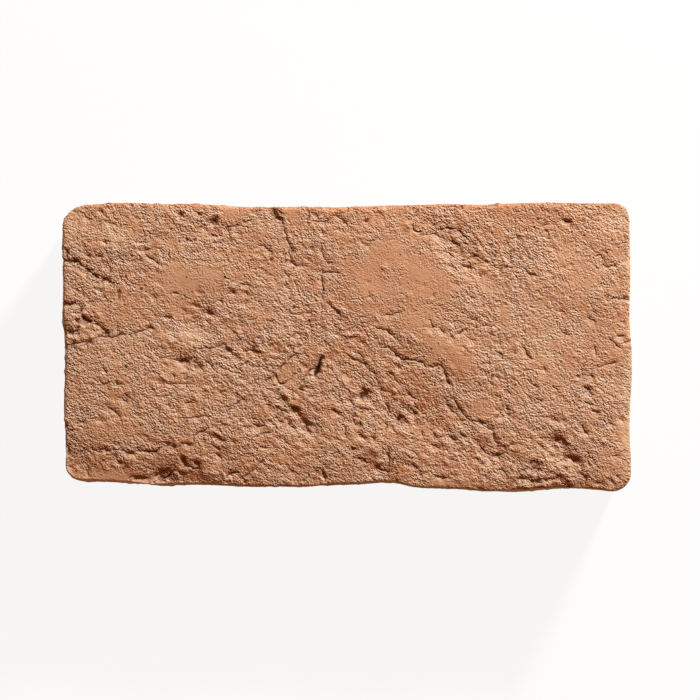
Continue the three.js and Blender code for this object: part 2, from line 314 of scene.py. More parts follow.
def noise(points, size, seed):
    """Gradient noise, about -1 to 1, with bumps about `size` mm apart."""
    place = points / size
    corner = np.floor(place).astype(np.int64)
    offset = place - corner
    blend = offset**3 * (offset * (offset * 6 - 15) + 10)
    total = np.zeros(len(points))
    for step in np.ndindex(2, 2, 2):
        step = np.array(step)
        weight = np.prod(np.where(step, blend, 1 - blend), axis=1)
        slope = lattice_numbers(corner + step, seed)
        total += weight * np.sum(slope * (offset - step), axis=1)
    return total * NOISE_GAIN


def wavering(points, size, seed, mean, swing, least, most):
    """A share that wavers: `mean` plus `swing` times the noise, kept from `least` to `most`."""
    return np.clip(mean + swing * noise(points, size, seed), least, most)


def smooth_step(low, high, value):
    """0 below low, 1 above high, and a soft S between them."""
    t = np.clip((value - low) / (high - low), 0, 1)
    return t * t * (3 - 2 * t)


sample = noise(form, 5.0, 1)
print("noise runs from", round(float(sample.min()), 2), "to", round(float(sample.max()), 2))

# %% Lumps, and crests that lean
LUMP_STRAY = 0.42  # how far a lump's middle strays from that of its cell, in cells


def lumps(points, size, seed):
    """Distance to the nearest scattered point, in lump sizes: 0 on a crown, 1 in a cleft."""
    place = points / size
    corner = np.floor(place).astype(np.int64)
    nearest = np.full(len(points), np.inf)
    for step in np.ndindex(3, 3, 3):
        neighbour = corner + np.array(step) - 1
        centre = neighbour + 0.5 + LUMP_STRAY * lattice_numbers(neighbour, seed)
        nearest = np.minimum(nearest, np.sum((centre - place) ** 2, axis=1))
    return np.sqrt(nearest)


# The way to the lamp along the face, anticlockwise from the long axis. The relief leans over away
# from it, so that its steep flanks lie in shade, and the colour is painted by it. Neither is
# known of the real clay: both were chosen for this one lamp.
LAMP_AZIMUTH = math.radians(60)
LAMP_WAY = np.array([math.cos(LAMP_AZIMUTH), math.sin(LAMP_AZIMUTH), 0])
CLOD_CREST = 0.42  # brings the mean of the mounds near nothing


def leaned(pattern, points, size, seed, pull, way=LAMP_WAY):
    """A pattern whose crests lean over: each point takes the value of a point `pull` sizes
    further along the way for each unit of its own height, so one flank grows steep."""
    still = pattern(points, size, seed)
    return pattern(points + (pull * size * still)[:, None] * way, size, seed)


def clods(points, size, seed):
    """Rounded mounds with sharp clefts between them: the crest less the square of the distance."""
    return CLOD_CREST - lumps(points, size, seed) ** 2


# The sample point is pushed about by slow noise, so that no lattice shows through.
DRIFT_SIZE, DRIFT_REACH = 9.0, 1.6  # mm
drift = np.stack([noise(form, DRIFT_SIZE, seed) for seed in (11, 12, 13)], 1)
warped = form + DRIFT_REACH * drift
print("drift, mm:", float(np.abs(drift).max() * DRIFT_REACH))

# %% [markdown]
# ## Leathery and crumbly clay
# Where the clot slid against the wet mould, the clay closed into a smooth, leathery skin.
# Everywhere else the sand kept it open and crumbly. A few broad places of each kind are listed,
# and noise frays their borders.

# %% Where the skin is smooth
# Each row: middle (x, y), reach along and across, turn in degrees, and strength.
LEATHERY = [
    (9, 29, 8, 13, 0, 0.9),
    (18, 38, 14, 7, -10, 0.8),
    (33, 28, 13, 11, -20, 0.95),
    (28, 11, 9, 6, -35, 0.95),
    (42, -2, 15, 5, -38, 1.0),
    (66, 12, 4, 5, 0, 0.9),
    (83, 8, 5, 7, 0, 0.5),
    (59, 24, 4, 3, -10, 0.9),
    (57, -26, 6, 4, -20, 0.7),
    (96, 31, 8, 15, 10, 0.75),
    (-67, 28.3, 19, 6.2, 5, 1.0),
    (-72, 17, 4, 5, -20, 0.7),
    (-90, 14, 6, 6, -10, 0.5),
    (-106, -34, 5, 4, 0, 0.5),
    (-47, 57, 8, 3, 0, 0.9),
    (-23, 57, 3, 2.5, 0, 0.8),
    (22, 58, 4, 2.5, 0, 0.7),
    (88, 52, 6, 3, 0, 0.5),
    (-25, -11, 4, 3, 30, 0.9),
    (-98, -54, 20, 3, -2, 0.9),
    (-60, -55, 6, 2.5, 0, 0.7),
    (45, -57, 14, 2.6, 0, 0.8),
    (110, -50, 6, 8, 0, 0.7),
    (115, -8, 4, 12, 0, 0.5),
    (92, 3, 26, 22, 0, 0.35),
    (20, 24, 26, 18, -15, 0.6),
]
print("leathery places:", len(LEATHERY))

# %% Where it tore open most
# Each row as above.
TORN = [
    (-107, 28, 10, 5, -25, 1.0),
    (-112, 11, 5, 7, 0, 0.9),
    (-65, 52, 6, 4, 0, 0.6),
    (-29, 56, 4, 5, -40, 0.8),
    (40, 54, 6, 9, -20, 1.0),
    (60, 39, 26, 6, -12, 1.0),
    (-34, -2, 16, 13, 30, 0.9),
    (2, 1, 7, 12, -20, 0.9),
    (-46, -12, 6, 14, 10, 0.6),
    (28, -25, 9, 6, -20, 0.7),
    (-10, -30, 9, 9, 0, 0.5),
    (100, -14, 10, 6, -20, 0.6),
    (-84, -44, 13, 4, 0, 0.7),
    (-60, -40, 7, 6, 0, 0.7),
    (-74, -56, 5, 5, 0, 0.8),
    (-50, -55, 4, 6, 0, 0.7),
    (-30, -51, 6, 6, 0, 0.5),
    (14, -50, 6, 6, 0, 0.8),
    (30, -53, 8, 6, 0, 0.7),
    (82, -53, 18, 7, 0, 0.9),
    (93, -30, 10, 9, 0, 0.4),
    (-25, -28, 75, 26, 0, 0.5),
    (-40, 0, 45, 18, 0, 0.45),
    (-95, 40, 25, 16, 0, 0.5),
    (60, -40, 50, 18, 0, 0.5),
]


print("torn places:", len(TORN))

# %% Turned places and mounds


def turned(places, middle, degrees):
    """Places seen from `middle`, with the axes turned anticlockwise by that many degrees."""
    c, s = math.cos(math.radians(degrees)), math.sin(math.radians(degrees))
    dx, dy = places[:, 0] - middle[0], places[:, 1] - middle[1]
    return np.stack([c * dx + s * dy, c * dy - s * dx], 1)


def mound(places, middle, reach, degrees=0, shape=1):
    """A smooth bell: 1 in the middle, about a third at `reach`. A larger shape has a flat top."""
    local = turned(places, middle, degrees) / np.asarray(reach, float)
    return np.exp(-(np.sum(local**2, axis=1) ** shape))


seen = turned(np.array([[1.0, 0.0]]), (0, 0), 90)[0]
print("one along x, seen from axes turned by 90 degrees:", seen.round(2))

# %% Redder and paler places: bare clay, sand, and painted light and shade
# Each row as above, with less than nothing where the clay is painted redder, and more where it
# is painted paler. Some rows are bare clay and thick sand, but many follow the broad light and
# shade: redder where the face falls away from the lamp, paler on the rims and pit walls that
# face it.
SAND_AND_PAINTED_LIGHT = [
    (-60, -51, 60, 12, 0, -1.0), (30, -28, 30, 11, -28, -0.9), (0, -60, 110, 2.2, 0, -1.0),
    (119.5, 0, 2.2, 60, 0, 1.0), (0, 61, 110, 1.4, 0, -0.4), (-5, 56, 26, 5, 0, -0.6),
    (44, 46, 13, 8, -30, -0.6), (96, -52, 24, 8, 0, -0.8), (-14, -29, 30, 11, 0, -0.5),
    (-66, -5, 9, 3, -10, -0.8), (-10, 10, 14, 20, 0, -0.35), (10, -5, 20, 6, -15, -0.4),
    (-118, -30, 5, 20, 0, -0.4), (-60, 16, 6, 5, -30, -0.8), (20, -52, 24, 8, 0, -0.6),
    (84, 5, 15, 28, 5, 0.8), (90, 38, 14, 8, -10, 0.5), (-97, 47.5, 6, 3, 0, 1.6),
    (-66, 6, 8, 4, -5, 0.9), (-88, -3, 26, 9, 0, 0.4), (-35, 18, 12, 10, 0, 0.4),
    (59, 24.3, 4.5, 2.5, -8, 1.5), (-71, -10, 6, 2.5, -10, 0.8), (-22, -37, 11, 3, 0, 0.6),
    (119, -28, 4, 30, 0, 1.0), (113, 56, 8, 6, 0, 1.0), (117, 36, 4, 5, 0, 1.0),
    (-113, 56, 8, 5, 0, 0.8), (-15.5, -14.3, 2.2, 1.8, 0, 1.6), (8, -25, 5, 2.5, -15, 0.7),
    (88, -45, 7, 3, -30, 0.6), (49.6, 32.3, 1.8, 1.2, -20, 1.6), (44, 59, 4, 1.2, 0, 1.0),
    (72, -60.8, 42, 1.6, 0, 0.9), (62, 57, 44, 5, 0, -0.5),
    (78, 42, 26, 13, 0, -0.55), (-68, 28.5, 17, 7, 0, 0.8),
    (-81, 56, 3, 1.6, 0, 0.9), (101, -22, 3, 2.5, 0, 0.8), (15, -37.5, 4, 2.2, -40, 0.7),
]
# Uneven dust everywhere. Each row: size in mm, amount, and seed.
DUST_LAYERS = [(11.0, 0.35, 73), (4.4, 0.2, 74)]
print("bare and sanded places:", len(SAND_AND_PAINTED_LIGHT))

# %% How leathery, torn, sanded and painted each point is
SIDE_ENDS, FACE_STARTS = THICKNESS - 9, THICKNESS - 2  # heights in mm
FRAY_SIZE, FRAY_REACH = 6.0, 2.6  # mm
SIDE_PATCH_SIZE, SIDE_LEATHER = 34.0, 0.8  # mm, and a share


def strongest(spots, shape=1):
    """The largest of the spots' mounds at each point of the face, each times its strength."""
    most = np.zeros(len(form))
    for x, y, along, across, turn, strength in spots:
        most = np.maximum(most, strength * mound(frayed, (x, y), (along, across), turn, shape))
    return most * upper


upper = smooth_step(SIDE_ENDS, FACE_STARTS, form[:, 2])
frayed = form[:, :2] + FRAY_REACH * np.stack([noise(form, FRAY_SIZE, seed) for seed in (21, 22)], 1)
leather = strongest(LEATHERY, 1.6)
torn = strongest(TORN)
sanded = sum(amount * noise(form, size, seed) for size, amount, seed in DUST_LAYERS)
for x, y, along, across, turn, amount in SAND_AND_PAINTED_LIGHT:
    sanded += amount * mound(frayed, (x, y), (along, across), turn, 1.2) * upper
side_leather = smooth_step(0.15, 0.5, noise(form, SIDE_PATCH_SIZE, 24)) * (1 - upper)
leather = np.maximum(leather, SIDE_LEATHER * side_leather)
print("leathery share of the surface:", round(float((leather > 0.5).mean()), 3))

# %% [markdown]
# ## Folds, cracks and nicks
# Where two lips of the clot met and didn't weld, they left a fold. It is a groove that follows
# a line and fades at both ends. One lip stands steep, and the other runs out gently, so the
# depth at a point depends on its distance to the line and on its side of it. The steep lip is
# always the one towards the lamp, which is a choice and nothing known of the clay. Each point
# only needs its nearest stretch of the line, and noise frays depth and width.

# %% The folds of the face
# Each row: width, depth, and the points that the groove runs through, all in mm.
FACE_FOLDS = [
    # Left end
    (1.5, 2.1, [(-121, 37), (-113, 36), (-111, 34.5), (-107, 31), (-104.5, 29.5), (-97, 26)]),
    (1.8, 1.6, [(-104.5, 29.2), (-101, 28.2), (-98, 27)]),
    (0.9, 0.9, [(-97, 26.5), (-96, 23.5), (-95.8, 20.5)]),
    (0.9, 0.9, [(-95.5, 32), (-95, 28)]),
    (0.8, 0.8, [(-108.5, 39.5), (-106, 37.8), (-102.5, 37.7)]),
    (0.9, 1.3, [(-84.3, 38.7), (-81.5, 37), (-78.8, 34.8)]),
    (0.7, 0.6, [(-79, 34.5), (-77, 34), (-75.2, 35)]),
    (0.6, 0.5, [(-88, 40.5), (-81, 41.2)]),
    (0.7, 0.5, [(-91, 36), (-85.5, 37)]),
    (1.5, 1.8, [(-121, 19.5), (-117.5, 18.5), (-116, 17.5), (-113.5, 19)]),
    (1.4, 2.2, [(-112.5, 18.5), (-111, 15.5), (-113, 14)]),
    (2.2, 2.8, [(-112, 14.6), (-109, 11.5), (-107, 10.5)]),
    (1.7, 1.6, [(-106, 10), (-103.5, 8.5), (-101, 6.5), (-99.5, 5.5)]),
    (1.3, 1.2, [(-118, 7.5), (-115, 7), (-113, 7.2), (-111.8, 9)]),
    (0.8, 0.6, [(-96, 9.5), (-96, 6)]),
    (1.7, 1.3, [(-122, 2.2), (-118, 1.4), (-112, 1.6), (-108, 2.4), (-106.5, 1.8)]),
    (1.4, 1.0, [(-106, 4.4), (-98, 4.4), (-94, 5.5), (-90, 5.7)]),
    (1.1, 1.1, [(-92, 5.6), (-90, 5.7), (-87, 6.5), (-84.2, 7.8), (-80, 8.6)]),
    (1.0, 0.7, [(-90.5, 5.5), (-89.5, 4)]),
    (0.9, 0.8, [(-102.6, -9), (-100.5, -11)]),
    (0.9, 0.7, [(-104, -13.5), (-102, -15.3), (-99, -14.5)]),
    (1.2, 0.9, [(-97.2, -13.3), (-95.8, -15.6), (-94.3, -16)]),
    (1.8, 1.0, [(-101, -23.5), (-99, -26), (-97, -27.5), (-94.5, -29.5)]),
    (0.9, 0.7, [(-96.5, -20), (-94, -22), (-91.5, -23.5)]),
    (0.9, 0.7, [(-93.5, -19.5), (-91, -21.5), (-89, -22)]),
    (0.9, 0.6, [(-113.5, -31), (-111, -31.5), (-109.5, -31)]),
    # Torn spot left of the middle
    (1.6, 1.3, [(-73, -4.8), (-70, -5.5), (-66.5, -6.2), (-64.8, -4)]),
    (2.2, 1.5, [(-63.5, -6.5), (-61.5, -8.5), (-60, -10)]),
    (1.0, 0.8, [(-59.5, -5.5), (-57.5, -7.5), (-55.5, -9)]),
    (1.0, 0.9, [(-63, -0.5), (-58, -0.6), (-54, 0.5), (-51.5, 0.8)]),
    (1.8, 1.1, [(-51.5, 1.8), (-49.5, -1.2), (-46.5, -3.4)]),
    (0.9, 0.8, [(-44.5, -2), (-41, -1.6), (-39, -2)]),
    (1.0, 0.9, [(-45.3, -8.3), (-43.5, -7), (-41, -6)]),
    (0.9, 0.8, [(-40, -7.3), (-38, -8.5), (-36.5, -8.3)]),
    (1.0, 0.8, [(-73.8, -11.2), (-72, -13)]),
    (0.7, 0.6, [(-76, -15.4), (-71, -15.6), (-66, -15), (-63.5, -15.4)]),
    (0.7, 0.5, [(-81, -20.2), (-77, -20.6), (-73, -20.2)]),
    (0.9, 0.8, [(-67.5, -24), (-65, -22.6)]),
    (1.3, 1.2, [(-48.3, -24.2), (-46, -23.5), (-44, -22.3), (-42.2, -22.2)]),
    (0.9, 0.8, [(-42.5, -23.3), (-40.3, -21.8)]),
    (1.2, 1.1, [(-51.5, -27.8), (-49.6, -27), (-48.3, -25)]),
    (0.7, 0.6, [(-70, -29.8), (-64, -29.5), (-58, -29), (-53, -27.8)]),
    (0.8, 0.7, [(-48, 6), (-45, 5.3), (-42, 6)]),
    # Lower left
    (1.1, 1.0, [(-107.2, -42.2), (-105, -43.6), (-102.5, -44), (-100, -43.3), (-95, -43)]),
    (1.3, 1.2, [(-94.5, -43.6), (-91, -44.4), (-88, -43.4), (-86, -44)]),
    (1.3, 1.4, [(-85.5, -43.6), (-82.5, -43.8), (-80, -43.6), (-77.5, -42)]),
    (0.9, 0.9, [(-78, -42.3), (-74.5, -41.5), (-69, -41.8)]),
    (0.8, 0.7, [(-78.5, -40), (-74, -40.5), (-72, -41.5)]),
    (0.8, 0.7, [(-69.5, -40.8), (-65, -40.5), (-63.5, -37.6)]),
    (1.4, 1.2, [(-64.5, -37.8), (-62.5, -36.3), (-60, -35.2), (-58.8, -34.4)]),
    (1.4, 0.9, [(-104.5, -42), (-102.5, -43), (-101, -42)]),
    (1.8, 1.0, [(-97.3, -44.6), (-96.3, -47.5), (-94, -49)]),
    (1.0, 0.7, [(-101.5, -45), (-99, -45.5), (-96, -45)]),
    (3.0, 1.6, [(-69.5, -45.5), (-68.5, -48.5), (-67, -49.5)]),
    (1.6, 1.2, [(-67.5, -49.8), (-64, -50.6), (-61, -51.2)]),
    (1.8, 1.0, [(-64.5, -47.5), (-62.5, -49.5), (-61, -51)]),
    (1.7, 2.2, [(-81, -55), (-78.5, -53.6), (-77, -54.8), (-74.5, -54), (-73, -52)]),
    (1.8, 1.0, [(-80, -51.3), (-76.5, -51.8), (-74, -50.5)]),
    (2.2, 1.0, [(-91, -54), (-87, -55), (-83, -55)]),
    (1.2, 1.0, [(-91.8, -54.5), (-90.5, -56.5)]),
    (1.6, 1.0, [(-55, -44.5), (-53.8, -46), (-52.5, -47)]),
    (1.2, 1.0, [(-55.5, -35.8), (-53.5, -38.2), (-51.5, -39), (-48.8, -37.8)]),
    (0.7, 0.9, [(-34.3, -46.8), (-37.5, -49.6), (-40, -52), (-43.3, -54.8)]),
    (1.4, 1.3, [(-49, -54), (-47.5, -52.6), (-45.3, -52.3)]),
    (0.8, 0.8, [(-51, -54.5), (-48, -53.6)]),
    (1.1, 1.1, [(-10.2, -51), (-9.8, -54), (-9, -56.5)]),
    # Lower middle
    (1.8, 1.3, [(-30.3, -24), (-28.3, -26), (-26.5, -26.8), (-24.5, -27.6)]),
    (1.4, 1.1, [(-23.4, -24.8), (-21.5, -26.5), (-19.8, -29)]),
    (2.4, 1.2, [(-25.3, -29), (-24, -32), (-21.8, -34.6)]),
    (3.2, 1.7, [(-18, -30), (-17, -33.5), (-15, -35.8)]),
    (2.2, 1.1, [(-13.3, -29.5), (-12.3, -32), (-9.8, -32.6)]),
    (1.4, 0.9, [(-30, -28.5), (-28, -31), (-26, -31.8)]),
    (2.2, 1.1, [(-39.5, -31.3), (-37.5, -33), (-34.8, -33.4)]),
    (0.8, 0.8, [(-37.2, -36.3), (-34, -35.8), (-30.3, -35.6)]),
    (1.4, 1.0, [(-33.6, -24), (-32.2, -24.8)]),
    (1.4, 1.0, [(-20, -17.4), (-18, -18.6)]),
    (2.4, 1.0, [(-28, -20.5), (-26, -22.5), (-24.5, -24.3)]),
    (1.4, 1.0, [(-5.8, -25.8), (-4, -27.8), (-2, -28.3)]),
    (1.4, 1.1, [(1.2, -21.3), (2.2, -23.3), (4, -24.3)]),
    (1.2, 1.0, [(1.8, -29.3), (3.2, -31), (3.6, -33)]),
    (1.4, 1.0, [(5.5, -31), (5.8, -34)]),
    (1.3, 1.3, [(1.7, -41.3), (2.8, -42.6), (4.2, -42.6)]),
    (1.2, 1.2, [(-5.2, -44), (-3.8, -44.6), (-2.6, -44.2)]),
    (2.6, 1.2, [(6.8, -46), (8, -48.3), (10, -48.6)]),
    (1.4, 0.9, [(3.8, -45.8), (5.8, -47.8)]),
    (1.2, 0.9, [(-20.6, -49.6), (-19.4, -50.6)]),
    (1.1, 0.9, [(7.8, -54.3), (8.8, -55.6)]),
    (1.6, 1.0, [(14.6, -16.3), (15.8, -19), (17.6, -20)]),
    (1.2, 1.0, [(25.8, -19), (27.5, -20.8), (29, -21.3)]),
    (2.0, 1.2, [(16.2, -23.5), (17.6, -26.5), (19, -27.6)]),
    (3.0, 1.5, [(20.2, -28), (22.3, -31), (25.5, -31.5)]),
    (1.6, 1.2, [(27.8, -25.5), (28.6, -27.8), (30, -28.6)]),
    (1.0, 0.8, [(15.5, -31), (16.8, -34), (17, -36)]),
    (1.3, 1.1, [(17.3, -41.5), (17.7, -46), (18, -50)]),
    (1.6, 1.4, [(12.8, -50.3), (15.5, -52), (18, -52.4)]),
    (1.4, 1.1, [(27.3, -49), (28.6, -50.4), (30.4, -50.6)]),
    (1.3, 1.0, [(20.6, -53), (20.8, -57)]),
    (1.2, 0.9, [(37, -54), (40, -55), (42.3, -54.6)]),
    (1.0, 0.9, [(30.8, -35), (32.2, -37)]),
    (1.6, 1.1, [(46.8, -35.5), (48.6, -37.3), (50.6, -38.6)]),
    (1.5, 1.0, [(35.5, -40.3), (37.5, -41.6), (39.5, -43)]),
    (1.3, 0.9, [(43, -36.8), (44.5, -38.6), (46.5, -38.3)]),
    (1.2, 0.9, [(54.8, -46.6), (56.2, -48.6), (57.6, -49.2)]),
    (1.3, 1.2, [(44.3, -21), (46.5, -24.6), (48.5, -27.5), (50.5, -30), (52, -31)]),
    (2.4, 0.9, [(40.5, -20.5), (43, -25), (46, -28.8)]),
    (1.0, 1.1, [(52, -30.8), (56, -31.5), (58.5, -32.5), (61.3, -35.3)]),
    (1.0, 1.0, [(61.2, -36), (62, -39), (64, -40.8)]),
    (0.8, 0.8, [(61.8, -32), (62.8, -29.6), (64.3, -27)]),
    (2.0, 1.2, [(65.6, -24), (67, -27.6), (68.6, -28.6)]),
    (1.5, 1.2, [(55.3, -39), (57, -42.6), (59, -44.8), (61.5, -45.6), (65, -44.6), (67.5, -42.6),
                (69, -40.8)]),
    (1.0, 0.9, [(69, -40.8), (71.2, -40.5)]),
    # Lower right
    (1.0, 0.9, [(86.3, -29), (88, -30.6), (89.6, -31.6)]),
    (1.2, 1.1, [(98.3, -32.3), (99.4, -34.4), (101.2, -37.3)]),
    (2.8, 1.4, [(85, -38.8), (88, -40), (91, -41), (92.8, -41.6)]),
    (2.6, 1.6, [(92.3, -44.5), (95, -47.8), (98.2, -50.2)]),
    (3.0, 1.6, [(77, -48), (78.6, -50.6), (81.5, -51.3)]),
    (1.3, 1.2, [(70, -56), (73, -55.2), (76, -55.6), (79.5, -55.8), (82, -55), (86, -55.6),
                (88.3, -53.6)]),
    (2.4, 1.3, [(70.2, -55.6), (71.4, -57.6)]),
    (2.2, 1.2, [(76, -55.5), (79, -57)]),
    (0.7, 0.7, [(90, -52.5), (92, -51.4), (94.2, -50)]),
    (1.5, 1.2, [(98.3, -52.3), (99.8, -54.6), (100, -58)]),
    (0.7, 0.8, [(101, -43.5), (101.6, -50.5)]),
    (0.8, 0.7, [(111.5, -45.3), (117.2, -45.5)]),
    (1.5, 1.3, [(65.2, -50.3), (66, -52.6), (67.8, -54.3)]),
    # Right end
    (1.1, 1.1, [(73.6, 1.8), (74.2, -0.6), (75.6, -2.6), (77.6, -5.8)]),
    (1.0, 1.0, [(63, -2), (65.3, -3.6)]),
    (1.0, 0.9, [(57, 8.3), (58.8, 9.3), (60.2, 8.8)]),
    (0.8, 0.7, [(52.5, 11.6), (55, 10.8)]),
    (1.3, 1.1, [(46, 5.5), (48, 6.5), (50.3, 7.8)]),
    (0.7, 0.6, [(50.5, 4.6), (54, 2.4)]),
    (0.8, 0.6, [(55.6, -5.2), (58, -6.6), (60.8, -6.5)]),
    (1.0, 0.7, [(61.3, -11), (64, -13.2)]),
    (1.4, 0.9, [(75, -13.5), (77, -15), (79.8, -16.6)]),
    (2.0, 0.8, [(86, -15.6), (88, -17.8), (90.3, -19.3)]),
    (1.0, 0.9, [(88, -20.8), (88.8, -22)]),
    (1.0, 0.9, [(81, -21.8), (82, -23)]),
    (1.0, 0.9, [(104.1, 0.5), (104.5, -3)]),
    (1.3, 0.8, [(104.7, -7.3), (105.2, -10.6)]),
    (0.7, 0.6, [(110, 4.6), (112, 2), (115.3, -1)]),
    (0.9, 0.8, [(113, 4.4), (116.3, 4.9)]),
    (1.0, 0.8, [(116.5, 1.6), (119.5, 2.6)]),
    (0.8, 0.9, [(107, -8), (109.5, -7.5), (113.3, -5.9)]),
    (0.8, 0.8, [(96, -11.4), (99, -12)]),
    (1.0, 0.9, [(101.6, -11.2), (104.2, -13.6)]),
    (2.2, 0.9, [(99.5, -16.4), (101.5, -18.3), (103.6, -20.2)]),
    (1.1, 1.1, [(99.8, -23), (102.3, -24.6)]),
    (1.1, 0.9, [(102.8, -26.2), (106.2, -27.6)]),
    (1.1, 0.9, [(109.6, -30.8), (111.8, -32.4)]),
    (0.8, 0.9, [(107.3, 35), (109, 33.3), (111, 34), (113.3, 35)]),
    (0.9, 0.7, [(105, 38.2), (106.5, 38.6), (106.9, 37)]),
    (0.9, 1.6, [(116, 20.6), (118.5, 19.8), (122, 19.6)]),
    (0.8, 0.6, [(110.5, 20), (115, 20.3)]),
    (1.0, 0.8, [(108, 22.2), (109.8, 21.4)]),
    (1.0, 1.0, [(100.8, 12.3), (102.8, 11.3), (104.2, 10.3)]),
    (1.4, 0.9, [(103, 15.2), (105.5, 14)]),
    (1.2, 0.9, [(89.6, 6.6), (91.5, 6), (93.3, 5.3)]),
    # Upper right
    (1.8, 1.2, [(90.3, 54), (92, 52.8), (94.3, 52.4)]),
    (1.0, 0.8, [(81.5, 51.4), (84, 51)]),
    (1.1, 1.0, [(67.8, 38.8), (69.2, 36.8)]),
    (1.0, 1.0, [(71.4, 42.2), (72, 39.5)]),
    (1.0, 0.9, [(71.2, 46.8), (73.3, 44.4)]),
    (1.1, 0.9, [(66, 34.2), (68.8, 33.4)]),
    (1.2, 1.0, [(73.8, 32.8), (76.5, 31), (79.8, 29.8)]),
    (1.4, 1.2, [(39.5, 49.6), (42, 49.3), (46.5, 49.5)]),
    (1.2, 1.1, [(46.5, 49), (48.5, 47.3), (50.3, 45.3)]),
    (0.9, 0.8, [(33, 47.5), (37, 47.5), (40.2, 45.8)]),
    (0.9, 1.0, [(27.8, 51), (29.3, 48.8), (31.8, 49)]),
    (1.8, 1.1, [(40.8, 57), (42.8, 55.4)]),
    (1.3, 1.1, [(39.8, 39.8), (43, 39.2), (45, 37.3)]),
    (1.8, 1.2, [(43.8, 44.3), (47.5, 42.4)]),
    (1.1, 1.1, [(51.8, 40), (56, 37), (59.3, 34.8)]),
    (2.2, 1.5, [(47.5, 35.2), (49.5, 33.6), (52.3, 33.3)]),
    (1.2, 0.9, [(55.3, 30.5), (57.3, 29.8)]),
    (1.1, 1.1, [(33.8, 11.8), (36, 9.6), (38.5, 8), (40.8, 5.8)]),
    (1.0, 0.7, [(43, 4.8), (44.5, 3.6)]),
    # Upper middle
    (2.4, 1.9, [(-32.8, 59.5), (-30, 56.6), (-28.5, 54), (-26.4, 51)]),
    (1.0, 1.1, [(-26.4, 51), (-25, 45.5), (-24.3, 43.3), (-22.6, 40.6), (-21.3, 39)]),
    (1.0, 1.0, [(-24.1, 41.3), (-23.5, 37), (-21.5, 34.6), (-19.5, 34), (-17.3, 33.4)]),
    (0.9, 0.9, [(-19.8, 36), (-18.5, 34)]),
    (1.0, 0.9, [(-17, 58.3), (-15.6, 54.6), (-16.6, 52), (-15.6, 51.4)]),
    (0.9, 0.9, [(-14.5, 52.5), (-11, 52.6), (-8, 53), (-5, 55), (-3.5, 54.6), (-1, 53), (1.2, 50)]),
    (0.8, 0.6, [(0, 59.5), (0, 55.5)]),
    (0.9, 0.9, [(-10.3, 50), (-10.4, 47)]),
    (0.9, 0.9, [(-10.6, 43.5), (-10.3, 40), (-9.8, 37)]),
    (0.8, 0.7, [(-10.4, 33.5), (-10.3, 28), (-10.2, 19.5)]),
    (0.6, 0.4, [(-10.5, 18), (-10.8, 8)]),
    (1.0, 0.9, [(-10, 31.8), (-5, 31.2), (-1.8, 32)]),
    (0.9, 0.7, [(-10, 37), (-8, 35.6), (-4.8, 35.6)]),
    (0.8, 0.7, [(5, 44), (8, 43), (10.5, 44.5), (12.8, 46)]),
    (1.0, 0.9, [(-8.2, 19.3), (-6.5, 17), (-4, 15.4), (-2.5, 13.4), (-0.8, 13)]),
    (0.9, 0.9, [(16.6, 14.3), (19, 13.9), (22.3, 14.8)]),
    (0.9, 0.8, [(-24.3, 14.6), (-21, 13.4), (-17.5, 14.4), (-14.5, 14.4)]),
    (0.8, 0.7, [(-36.3, 42.8), (-30.8, 39.8)]),
    (1.0, 0.8, [(-26.4, 32), (-24.3, 29)]),
    (0.9, 0.7, [(-26.3, 25.8), (-22.8, 24.3)]),
    (1.0, 0.9, [(-62.3, 53), (-58.6, 51.2)]),
    (1.2, 1.1, [(-50.6, 50.6), (-48.5, 47.4)]),
    (1.0, 0.9, [(-52, 50.6), (-46.5, 50.8), (-43.3, 52), (-39.6, 53.6)]),
    (1.1, 0.9, [(-62.3, 56.8), (-60.4, 55.2)]),
    (0.9, 0.8, [(-69.3, 45.7), (-64.8, 44.6)]),
    (1.0, 0.9, [(-65.8, 39.8), (-61.8, 40.6)]),
    (1.0, 0.8, [(-58.3, 47), (-54.3, 45.8)]),
    (1.0, 0.9, [(-73.3, 23.4), (-69.8, 22.2)]),
    (1.0, 0.9, [(-53.7, 19.6), (-51.2, 18)]),
    (1.0, 0.9, [(-43.8, 26.6), (-40.8, 26)]),
    (0.9, 0.8, [(-42.3, 23.6), (-41.4, 21.6)]),
    # Middle, with the nick
    (0.9, 1.2, [(-10.2, -4), (-11, -5.8), (-12, -8)]),
    (0.8, 1.2, [(-13, -8.4), (-14.6, -9.4), (-16.3, -10.8), (-18.5, -12.6)]),
    (0.9, 0.9, [(-33.3, 11.3), (-29.8, 9.8)]),
    (0.9, 0.8, [(-23.3, 4.3), (-20.3, 5.6)]),
    (1.0, 0.9, [(-16.3, 9.3), (-14.8, 10.6)]),
    (0.9, 1.1, [(-20.3, -2.3), (-22.5, -3.8), (-25, -5.6), (-27, -7.6), (-28.8, -9.8)]),
    (0.8, 0.8, [(-29.3, -10.5), (-29.7, -13.6), (-28, -15.5), (-26, -15.2), (-24, -13.6), (-20, -10.8)]),
    (0.8, 0.8, [(-16.5, -12.6), (-20.2, -15.8)]),
    (1.2, 1.1, [(-34.6, -14.6), (-33.4, -13.6), (-31.3, -12.4)]),
    (0.8, 0.7, [(0.6, 3.8), (3, 4.4), (5.3, 3.8)]),
    (1.0, 0.8, [(6.3, 2.4), (8.3, 1.3)]),
    (0.9, 0.7, [(0.3, -3.6), (2.5, -5), (5, -6), (7.5, -7.6), (9, -8.8), (11, -10.6), (12.3, -12.8)]),
    (1.2, 1.0, [(4.6, -2), (7.3, -4.8)]),
    (0.8, 0.8, [(10, 9.6), (13, 8), (16, 7.4), (17.6, 6), (19.6, 4.4), (20.2, 2.8)]),
    (1.3, 1.1, [(13.6, 0.8), (15.5, -0.6), (18, 0), (19.5, -2), (21, -3.6), (24, -5), (28, -5.5),
                (31, -6), (33, -8), (36, -8), (39.3, -7.6)]),
    (1.6, 1.6, [(39.3, -7.5), (40.3, -8.6), (41, -11), (42.4, -13.6), (43.8, -16.6)]),
    (1.4, 1.0, [(20.8, -7.2), (23.6, -8.2)]),
    (1.8, 1.1, [(17.2, -10.3), (20.3, -12.3)]),
]
print("folds of the face:", len(FACE_FOLDS))

